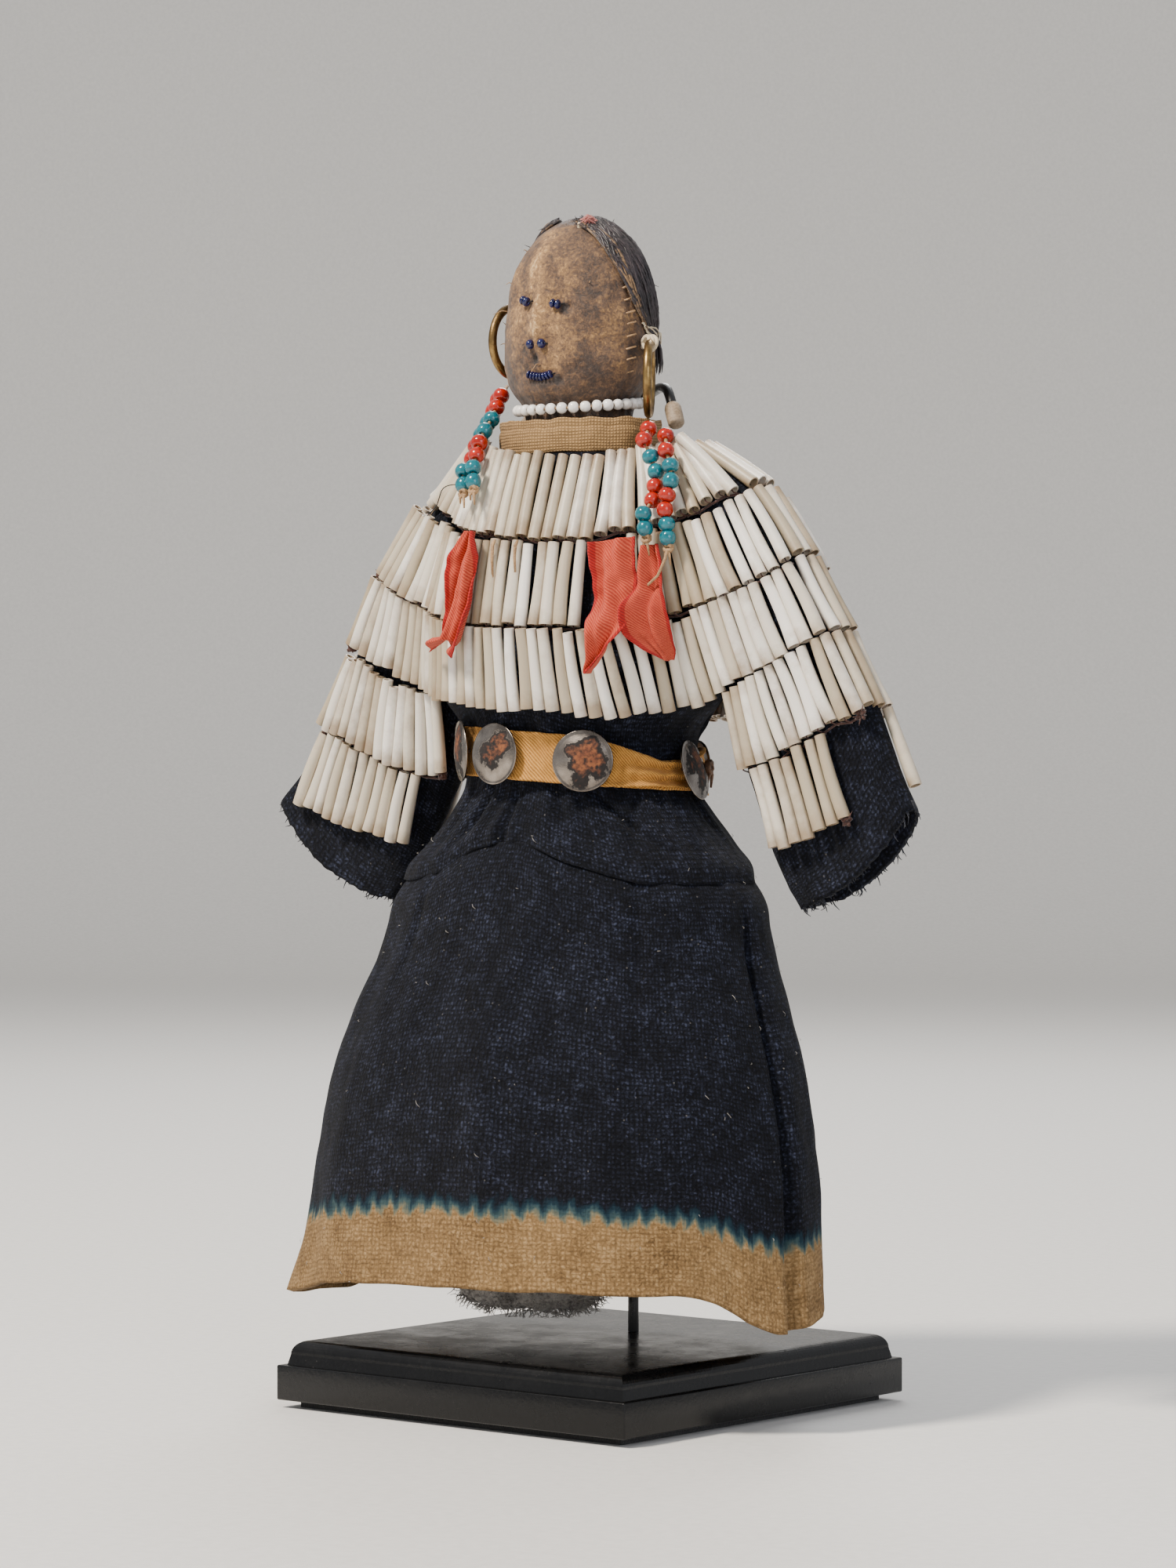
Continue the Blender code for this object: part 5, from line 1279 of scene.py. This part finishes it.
def build_belt():
    """A strip of mustard cotton twill tied tight round the waist, creased where it is drawn in."""
    def place(across, down):
        turn = TAU * across - math.pi
        degrees = np.degrees(turn)
        drawn = bell(degrees + 13, 27)
        z = belt_level(turn) + BELT_WIDTH * (0.5 - down) - 4.6 * drawn * (1 - down) + 1.4 * drawn * down
        sag = round_ripples(turn, down * 3, 40, (0.35, 7, 3))
        crease = -sum(deep * bell(degrees - at + 5 * (down - 0.5), wide) for at, deep, wide in BELT_CREASES)
        roll = 0.4 * (bell(down - 0.03, 0.06) + bell(down - 0.97, 0.06))
        pleats = 0.95 * drawn * np.sin(TAU * 2.3 * down + 0.05 * degrees + 1)
        pleats += 0.3 * np.sin(TAU * 1.1 * down + turn * 7)
        out = BELT_GAP + TWILL + 0.3 + crease * 0.6 + roll + pleats + round_ripples(turn, z, 40, (0.25, 5, 9))
        level_out = around_garment(turn, belt_level(turn) + (z - belt_level(turn)) * 0.75, out)
        level_out[:, 2] = z + sag
        return level_out
    bm = cloth(320, 28, place, (196, 12.4), closed=True)
    made = thicken(piece("belt_cloth", bm, [belt_twill], ["belt"]), TWILL)


build_belt()


# How thick the rust is at the middle of a disc, and how far a disc is turned round the waist and tilted up
CRUST = {2: 0.09, 3: 0.25, 4: 0.12}
DISC_TURN = {1: (0.17, 0), 4: (-0.28, 0.28)}


def build_discs():
    """Tin discs stamped to a low dome with a thin rolled rim, each sewn on by a thong through a shank at its back."""
    dome = [(0, 1.2), (2, 1.12), (4, 0.86), (5.6, 0.5), (6.7, 0.12), (7.15, 0.02), (7.5, 0.1), (7.75, 0.02),
            (DISC_RADIUS, -0.2), (7.65, -0.42), (7.2, -0.45), (5.6, 0.1), (4, 0.45), (2, 0.7), (0, 0.78)]
    spread = random.Random(41)
    for number, degrees in enumerate(DISC_ANGLES, start=1):
        turn = radians(degrees)
        here, normal = on_garment(turn, float(belt_level(turn)))
        here += normal * DISC_STAND_OFF
        bm = turned(dome, 48)
        rim = bm.verts.layers.float.new("rim")
        lean = Vector((spread.uniform(-0.05, 0.05), spread.uniform(-0.05, 0.05), spread.uniform(-0.06, 0.06)))
        for vert in bm.verts:
            away = math.hypot(vert.co.x, vert.co.y) / MM
            crust = CRUST.get(number, 0.05) * bell(math.dist((vert.co.x / MM, vert.co.y / MM), (1.2, 0.8)), 3.8)
            vert[rim] = 0.14 * max(0, (away - 4.6) / 3) - crust
            dent = ripple(vert.co.x / MM, vert.co.y / MM, number * 7, 6)
            vert.co.z += 0.16 * dent * MM
        turned_by, tilted_by = DISC_TURN.get(number, (0, 0))
        lean += normal.cross(UP) * turned_by + Vector((0, 0, tilted_by))
        bmesh.ops.transform(bm, matrix=stand_at(here, normal + lean), verts=bm.verts)
        piece(f"tin_disc_{number}", bm, [tin], [f"belt_disc_{number}"])
        side = normal.cross(UP).normalized()
        thongs = [([here - normal * 2.9 + side * lean_out * 1.6, here - normal * 1.2 + side * lean_out,
                    here + normal * 0.6 + side * lean_out * 0.4], 0.55) for lean_out in (-1, 1)]
        strands(f"disc_thong_{number}", thongs, leather, sides=2)


build_discs()


def build_belt_knot():
    """A dried leather thong knotted over the belt, with two short ends."""
    turn = radians(KNOT_ANGLE)
    spot = on_garment(turn, float(belt_level(turn)) + 1, BELT_GAP + TWILL + 1.95)[0]
    normal = Vector((cos(turn), sin(turn), 0))
    side = Vector((-normal.y, normal.x, 0))
    paths = []
    for k in range(3):
        phase = k * TAU / 3
        ring = [spot + side * 1.25 * cos(t + phase) + UP * 1.5 * sin(t + phase)
                + normal * 0.5 * sin(2 * t + phase) for t in np.linspace(0, TAU, 15)]
        paths.append((ring, 0.55))
    for wide, drop, end, low in ((1.2, 2, 1.5, 5.2), (-1, 1.8, -1.3, 3.9)):
        paths.append(([spot, spot + side * wide - UP * drop + normal * 0.4, spot + side * end - UP * low],
                      [0.55, 0.5, 0.3]))
    strands("belt_thong_knot", paths, leather, ["belt_knot"], sides=2)


build_belt_knot()


# Shells

def row_height(lower_ends, x):
    xs = [row[0] for row in lower_ends]
    return float(smooth_curve(lower_ends)(min(max(x, xs[0]), xs[-1]))[0])


def clear_of_dress(top, bottom, face):
    """Y at a shell's two ends, so that the straight line between them clears the dress."""
    y_top, y_bottom = float(dress_surface(*top, face)[0]), float(dress_surface(*bottom, face)[0])
    shares = np.repeat([0, 0.12, 0.3, 0.45, 0.6, 0.75, 0.9], 3)
    shifts = np.tile([-1.2, 0, 1.2], 7)
    x = top[0] + (bottom[0] - top[0]) * shares + shifts
    z = top[1] + (bottom[1] - top[1]) * shares
    rise = face * (dress_surface(x, z, face) - (y_top + (y_bottom - y_top) * shares)) - np.abs(shifts) * 0.35
    lift_off = max(0, float(rise.max()))
    return y_top + face * lift_off, y_bottom + face * lift_off


def shell_pattern(bend):
    """One tusk shell from its wide open end at the origin up to z = 1, slightly curved."""
    bm = bmesh.new()
    bmesh.ops.create_cone(bm, cap_ends=True, segments=12, radius1=1, radius2=0.8, depth=1,
                          matrix=Matrix.Translation((0, 0, 0.5)))
    for height in (0.25, 0.5, 0.75):
        bmesh.ops.bisect_plane(bm, geom=bm.verts[:] + bm.edges[:] + bm.faces[:], plane_co=(0, 0, height),
                               plane_no=(0, 0, 1))
    for face in [face for face in bm.faces if abs(face.normal.z) > 0.9]:
        inward = 0.11 if face.normal.z < 0 else -0.06
        bmesh.ops.inset_region(bm, faces=[face], thickness=0.22)
        deep = bmesh.ops.extrude_face_region(bm, geom=[face])["geom"]
        verts = [item for item in deep if isinstance(item, bmesh.types.BMVert)]
        bmesh.ops.translate(bm, vec=(0, 0, inward), verts=verts)
        bmesh.ops.delete(bm, geom=[face], context="FACES_ONLY")
    for vert in bm.verts:
        vert.co.x += bend * (0.25 - (vert.co.z - 0.5) ** 2)
    bmesh.ops.recalc_face_normals(bm, faces=bm.faces)
    return pattern_mesh("shell_pattern", bm)


shell_patterns = [shell_pattern(bend) for bend in (-1, 0, 0.9)]
SHELL_THREAD = []


def fold_shells(side, level):
    """The shells sewn along a sleeve's outer fold at the end of a row: their lower ends and upper ends."""
    fold = path_at([(x * side, z) for x, z in sleeve_folds[side][0]], 200)
    low = fold[np.argmin(np.abs(fold[:, 1] - level))]
    off = np.abs(np.linalg.norm(fold - low, axis=1) - SHELL_LENGTH * 0.96)
    top = fold[np.argmin(off + 50 * (fold[:, 1] < low[1]))]
    out = Vector((low[1] - top[1], 0, (top[0] - low[0]))).normalized()
    out = out if out.x * side > 0 else -out
    pairs = []
    for y, far in ((-3.7, 1.5), (0.2, 1.9), (3.4, 1.2)):
        shift = Vector((0, y, 0)) + out * (SHELL_RADIUS * 0.6 + far * 0.5)
        pairs.append((Vector((low[0], SLEEVE_CENTRE, low[1])) + shift, Vector((top[0], SLEEVE_CENTRE, top[1])) + shift))
    return pairs


def build_shell_row(name, lower_ends, leans, above, face, lost=(), folds=(), last=False):
    """A row of shells laid side by side, each under the row above, with the thread that holds their ends."""
    lean_at = smooth_curve(leans)

    def ends_at(x, z, lean, length):
        for _ in range(3):
            top = (x - length * sin(lean), z + length * cos(lean))
            over = top[1] - (row_height(above, top[0]) - ROW_GAP) if above else 0
            length -= max(0, over) / cos(lean)
        return (x - length * sin(lean), z + length * cos(lean)), (x, z)

    samples = path_at(lower_ends, 61)
    depths = []
    for x, z in samples:
        top, low = ends_at(x, z, radians(float(lean_at(x)[0])), SHELL_LENGTH)
        depths.append(clear_of_dress(top, low, face))
    depths = np.array(depths) * face
    for _ in range(5):
        eased = depths.copy()
        eased[1:-1] = (depths[:-2] + 2 * depths[1:-1] + depths[2:]) / 4
        depths = np.maximum(eased, depths - 0.12)
    depths *= face
    steps = np.linalg.norm(np.diff(np.column_stack([samples, depths[:, 1]]), axis=0), axis=1)
    reach = np.concatenate([[0], np.cumsum(steps)])
    count = max(2, round(reach[-1] / (SHELL_PITCH * 0.98)))
    spread = random.Random(name)
    bm = bmesh.new()
    tone, stain = bm.verts.layers.float.new("tone"), bm.verts.layers.float.new("stain")

    def add_shell(start, end, radius):
        run = end - start
        size = Matrix.Diagonal((radius * MM, radius * MM, run.length * MM, 1))
        roll = Matrix.Rotation(spread.uniform(0, TAU), 4, "Z")
        new = add_copy(bm, spread.choice(shell_patterns), stand_at(start, run) @ roll @ size)
        shade, dirt = spread.random(), spread.choice([0, 0, 0.05, 0.16, 0.34])
        for vert in new:
            along = (vert.co.z / MM - RISE - start.z) / (run.z or 1)
            vert[tone] = shade
            # Each shell's own dirt, raised towards both ends so that the ends come out darker.
            vert[stain] = dirt + 0.5 * max(0, 1 - along / 0.1) + 0.35 * max(0, (along - 0.88) / 0.12)

    ends = []
    for i in range(count):
        share = (i + 0.5) / count * reach[-1] + spread.uniform(-0.15, 0.15)
        x = float(np.interp(share, reach, samples[:, 0]))
        z = float(np.interp(share, reach, samples[:, 1])) + spread.choice([0, 0, 0.4, -0.4, 0.8])
        lean = radians(float(lean_at(x)[0]) + spread.uniform(-1, 1))
        top, low = ends_at(x, z, lean, SHELL_LENGTH - spread.choice([0, 0.2, 0.7]))
        fold = path_at(sleeve_folds[1 if x > 0 else -1][0], 120)
        past_fold = abs(top[0]) - float(np.interp(top[1], fold[::-1, 1], fold[::-1, 0])) > -1.2
        if any(abs(x - bare) < SHELL_PITCH / 2 for bare in lost) or (face > 0 and past_fold):
            continue
        y_top, y_low = (float(np.interp(share, reach, depths[:, k])) for k in (0, 1))
        radius = SHELL_RADIUS * spread.uniform(0.9, 1.05)
        out = face * (SHELL_GAP + radius + 0.1)
        start, end = Vector((low[0], y_low + out, low[1])), Vector((top[0], y_top + out, top[1]))
        add_shell(start, end, radius)
        ends.append((start, end, (end - start).normalized(), y_low))
    for start, end in folds:
        add_shell(start + jitter(spread, 0.3), end, SHELL_RADIUS * 0.98)
    piece(name + "_tusks", bm, [shell_stuff], [name], sharp=50, outward=False)
    out = Vector((0, face, 0))
    for start, end, run, y_low in ends if not last else ():
        into = Vector((start.x, y_low + face * 0.1, start.z)) - run * spread.uniform(0.9, 1.5)
        SHELL_THREAD.append(([start + run * 1.2, start - run * 0.4 + out * 0.2, into], 0.24))
    line = []
    for k, (start, end, run, y_low) in enumerate(ends):
        here = Vector((start.x, start.y - face * 1.6, start.z)) - run * (0.75 + 0.3 * (k % 2))
        if line and (here - line[-1]).length > 6:
            if len(line) > 2 and not last:
                SHELL_THREAD.append((line, 0.34))
            line = []
        line.append(here)
    if len(line) > 2 and not last:
        SHELL_THREAD.append((line, 0.34))
    return ends


row_ends = {}
for face, word in ((-1, "front"), (1, "back")):
    for number, lower_ends in YOKE_ROWS.items():
        lost = [x for row, x in LOST_SHELLS if row == number and face < 0]
        folds = []
        if face < 0:
            folds = fold_shells(-1, lower_ends[0][1]) + fold_shells(1, lower_ends[-1][1])
        row_ends[number, word] = build_shell_row(f"shell_row_{number}_{word}", lower_ends, YOKE_LEANS[number],
                                                 YOKE_ROWS.get(number - 1), face, lost, folds, number == 3)
    for (side, number), lower_ends in SLEEVE_ROWS.items():
        above = YOKE_ROWS[3] if number == 4 else SLEEVE_ROWS[side, 4]
        folds = []
        if face < 0 and number == 4:
            folds = fold_shells(1, lower_ends[-1][1]) if side == "left" else fold_shells(-1, lower_ends[0][1])
        elif face > 0 and number == 5 and side == "left":
            folds = fold_shells(1, SLEEVE_ROWS[side, 4][-1][1] - 19.3)[2:]
        row_ends[side, number, word] = build_shell_row(f"shell_row_{number}_{side}_{word}", lower_ends,
                                                       SLEEVE_LEANS[side, number], above, face, (), folds, number == 5)


# Tangles of sewing thread at the ends of front rows
TUFTS = [(("right", 4), 0), (("right", 4), -1), (("left", 4), -1), (("left", 5), -1), ((2,), 0), ((3,), 0)]
spread = random.Random(91)
for row, place in TUFTS:
    start, end, run, y_low = row_ends[row + ("front",)][place]
    knot = start - run * 0.9 + Vector((0, 0.4, 0))
    for _ in range(3):
        phase = spread.uniform(0, TAU)
        SHELL_THREAD.append(([knot + Vector((1.1 * cos(t + phase), 0.5 * sin(2 * t), 0.9 * sin(t)))
                              for t in np.linspace(0, TAU, 10)], 0.42))
    for _ in range(7):
        way = Vector((spread.uniform(-1, 1), spread.uniform(-1, 0.1), spread.uniform(-1, 1)))
        SHELL_THREAD.append(([knot, knot + way * 1.1, knot + way * spread.uniform(1.6, 3) + Vector((0, 0, 0.3))],
                             [0.3, 0.24, 0.08]))
strands("shell_sewing_thread", SHELL_THREAD, brown_thread, sides=0)


# Beads and ribbons on the chest

def row_cover(x, z):
    """Y of the underside of the front shells at a spot, from the row that covers it."""
    number = 3 if z < row_height(YOKE_ROWS[2], x) else 2 if z < row_height(YOKE_ROWS[1], x) else 1
    low = row_height(YOKE_ROWS[number], x)
    lean = radians(float(smooth_curve(YOKE_LEANS[number])(x)[0]))
    top = (x - SHELL_LENGTH * sin(lean), low + SHELL_LENGTH * cos(lean))
    y_top, y_low = clear_of_dress(top, (x, low), -1)
    share = min(1, max(0, (z - low) / SHELL_LENGTH))
    return y_low + (y_top - y_low) * share


def on_shells(x, z, out):
    """Y of something that lies on the front shells, out from them."""
    surface = min(row_cover(x + shift, z + rise) for shift in (-2.5, 0, 2.5) for rise in (-2.5, 2.5))
    return surface - SHELL_GAP - 2 * SHELL_RADIUS - out


def build_strings():
    """Red and teal glass beads in pairs, hung on sinew from behind the neck and knotted below the last bead."""
    threads = []
    for name, places in STRINGS.items():
        spots = [Vector((x, on_shells(x, z, STRING_BEAD + 0.7) if y is None else y, z)) for x, y, z in places]
        string_beads(name + "_glass", spots, STRING_BEAD * 1.04, 2.35 if "right" in name else 2.25,
                     [red_glass, teal_glass], [name])
        first, last = spots[0], spots[-1]
        start = first + (first - spots[1]).normalized() * 3 + Vector((0, 1.2, 0.6))
        down = (last - spots[-2]).normalized()
        line = [start] + spots + [last + down * 2.6]
        threads.append((line, 0.45))
        knot = last + down * 2.4
        for k in range(2):
            ring = [knot + Vector((1 * cos(t + k), -0.5 * sin(2 * t), 0.9 * sin(t + k)))
                    for t in np.linspace(0, TAU, 12)]
            threads.append((ring, 0.5))
        for near, bend, far, aside in ((2, 0.5, 4.4, 0.2), (1.6, -0.8, 3.1, -1.1)):
            threads.append(([knot, knot + down * near + Vector((bend, -0.3, 0)),
                             knot + down * far + Vector((aside, 0.2, 0))], [0.42, 0.36, 0.2]))
        if name == "bead_string_left_back":
            threads.append(([knot, knot + Vector((0.2, -1.6, -3)), knot + Vector((-1.2, -2.6, -7)),
                             knot + Vector((-5.4, -3.6, -10.6)), knot + Vector((-6.4, -3.4, -11.6))],
                            [0.45, 0.4, 0.38, 0.36, 0.2]))
    for x, z, length in ((-3.6, 217.4, 9), (3.9, 217, 7.4), (-12, 218, 3)):
        front = on_shells(x, z, 0.5)
        threads.append(([(x, front + 1, z + 0.6), (x + 0.2, front - 0.2, z - 0.8), (x - 0.2, front, z - length * 0.5),
                         (x, front + 0.1, z - length)], [0.35, 0.5, 0.42, 0.3]))
    strands("bead_string_sinew", threads, sinew, sides=1)
    knot = Vector((-15.2, on_shells(-15.2, 231, 0.6), 231))
    tail = [knot, knot + Vector((-3, -2.4, 1.6)), knot + Vector((-6.6, -3.4, 0.8)), knot + Vector((-9.6, -2.6, -3.4)),
            knot + Vector((-14.6, -0.6, -5.8))]
    strands("bead_string_tail", [(path_at(tail, 20), 0.14)], dark_thread, sides=1)


build_strings()


def build_ribbons():
    """Narrow coral silk ribbons with red selvages, tied to the shells and hanging in folds."""
    for name, levels in RIBBONS.items():
        rows = []
        for (x_left, z_left), (x_right, z_right) in levels:
            middle = on_shells((x_left + x_right) / 2, (z_left + z_right) / 2, 0.7)
            rows.append((x_left, on_shells(x_left, z_left, 0.7), z_left, middle,
                         x_right, on_shells(x_right, z_right, 0.7), z_right))
        stations = [0]
        for before, after in zip(rows, rows[1:]):
            stations.append(stations[-1] + math.dist(before[:3], after[:3]))
        hang = smooth_curve([(station / stations[-1], *row) for station, row in zip(stations, rows)])
        twisted = name == "ribbon_right"
        raised = 2.6 if name == "ribbon_left_front" else 1.2

        def place(across, down):
            x_left, y_left, z_left, middle, x_right, y_right, z_right = hang(down).T
            x = x_left + (x_right - x_left) * across
            z = z_left + (z_right - z_left) * across
            flat = np.where(across < 0.5, y_left + (middle - y_left) * 2 * across,
                            middle + (y_right - middle) * (2 * across - 1))
            seed = len(name) * 3.1
            folds = 1.3 * np.sin(across * 8 + 4 * down + seed) + 0.7 * np.sin(across * 17 - 5 * down + seed)
            curl = 1.2 * (2 * across - 1) ** 2 * (0.4 + 0.6 * np.sin(down * 5 + seed))
            bow = 0.9 * np.sin(math.pi * down) + 0.4 * np.sin(9 * down + seed)
            crush = ripples(x, z, 0, (0.5, 3, seed))
            if twisted:
                folds = 2.4 * np.sin(across * 9.5 + 5.5 * down + seed) + 0.8 * np.sin(across * 21 + 9 * down)
                fork = np.clip((down - 0.84) / 0.16, 0, 1)
                z = z + fork * 5 * (1 - np.abs(2 * across - 1))
                x = x - fork * 2.4 * (across < 0.42)
            return np.column_stack([x, np.minimum(flat - 0.25, flat - raised - folds * 0.7 - curl - bow - crush), z])
        bm = cloth(44, 110, place, (10, stations[-1]))
        made = thicken(piece(name + "_silk", bm, [silk], [name], outward=False), SILK, 0)


build_ribbons()


def build_lint():
    """Pale lint and short fibres caught on the wool."""
    spread = random.Random(77)
    paths = []
    for _ in range(130):
        turn = spread.uniform(-math.pi, math.pi)
        z = spread.uniform(30, 150)
        here, normal = on_garment(turn, z, float(skirt_shape(turn, z)) if z < 132 else 0.6)
        side = Vector((-normal.y, normal.x, 0))
        way = side * spread.uniform(-1, 1) + UP * spread.uniform(-1, 1)
        length = spread.uniform(0.3, 0.9)
        paths.append(([here + normal * 0.35 - way * length, here + normal * 0.75,
                       here + normal * 0.35 + way * length], [0.04, 0.07, 0.04]))
    strands("wool_lint", paths, lint_fibre, sides=0)


build_lint()


# Floor, light and camera

def build_floor():
    """A plain pale floor that runs up into a pale wall far behind."""
    bm = bmesh.new()
    bmesh.ops.create_grid(bm, x_segments=1, y_segments=1, size=2.5)
    far = [edge for edge in bm.edges if all(vert.co.y > 2.4 for vert in edge.verts)]
    for i in range(1, 11):
        new = bmesh.ops.extrude_edge_only(bm, edges=far)["geom"]
        far = [item for item in new if isinstance(item, bmesh.types.BMEdge)]
        for vert in (item for item in new if isinstance(item, bmesh.types.BMVert)):
            turn = radians(10 * min(i, 9))
            vert.co.y, vert.co.z = 2.5 + 0.6 * sin(turn), 0.6 * (1 - cos(turn)) + 3 * (i == 10)
    bmesh.ops.rotate(bm, cent=(0, 0, 0), matrix=Matrix.Rotation(radians(CAMERA_TURN), 3, "Z"), verts=bm.verts)
    mesh = pattern_mesh("studio_floor", bm)
    mesh.materials.append(paper)
    mesh.shade_smooth()
    show("studio_floor", mesh)


build_floor()


def add_light(name, place, aim, size, watts, colour):
    light = bpy.data.lights.new(name, "AREA")
    light.shape = "DISK"
    light.size = size
    light.energy = watts
    light.color = linear(colour)[:3]
    lamp = show(name, light)
    lamp.location = place
    lamp.rotation_euler = (Vector(place) - Vector(aim)).to_track_quat("Z", "Y").to_euler()


chest = (0, 0, 0.16)
add_light("key_softbox", (-0.3, -1.15, 1.6), chest, 0.32, 64, "#fff5e8")
add_light("fill_softbox", (1.5, -0.7, 0.6), chest, 0.9, 8, "#eef2ff")
add_light("back_softbox", (-0.7, 1.1, 1.2), chest, 0.8, 14, "#ffffff")

world = bpy.data.worlds.new("soft_studio_surroundings")
world.use_nodes = True
background = world.node_tree.nodes["Background"]
background.inputs["Color"].default_value = linear("#e6e8ec")
background.inputs["Strength"].default_value = 0.75
bpy.context.scene.world = world

lens = bpy.data.cameras.new("photo_camera")
lens.lens = 104.7
lens.sensor_width = 36
lens.sensor_fit = "AUTO"
camera = show("photo_camera", lens)
camera.location = (0.7426, -0.902, 0.1587)
camera.rotation_euler = (radians(90), 0, radians(CAMERA_TURN))
bpy.context.scene.camera = camera
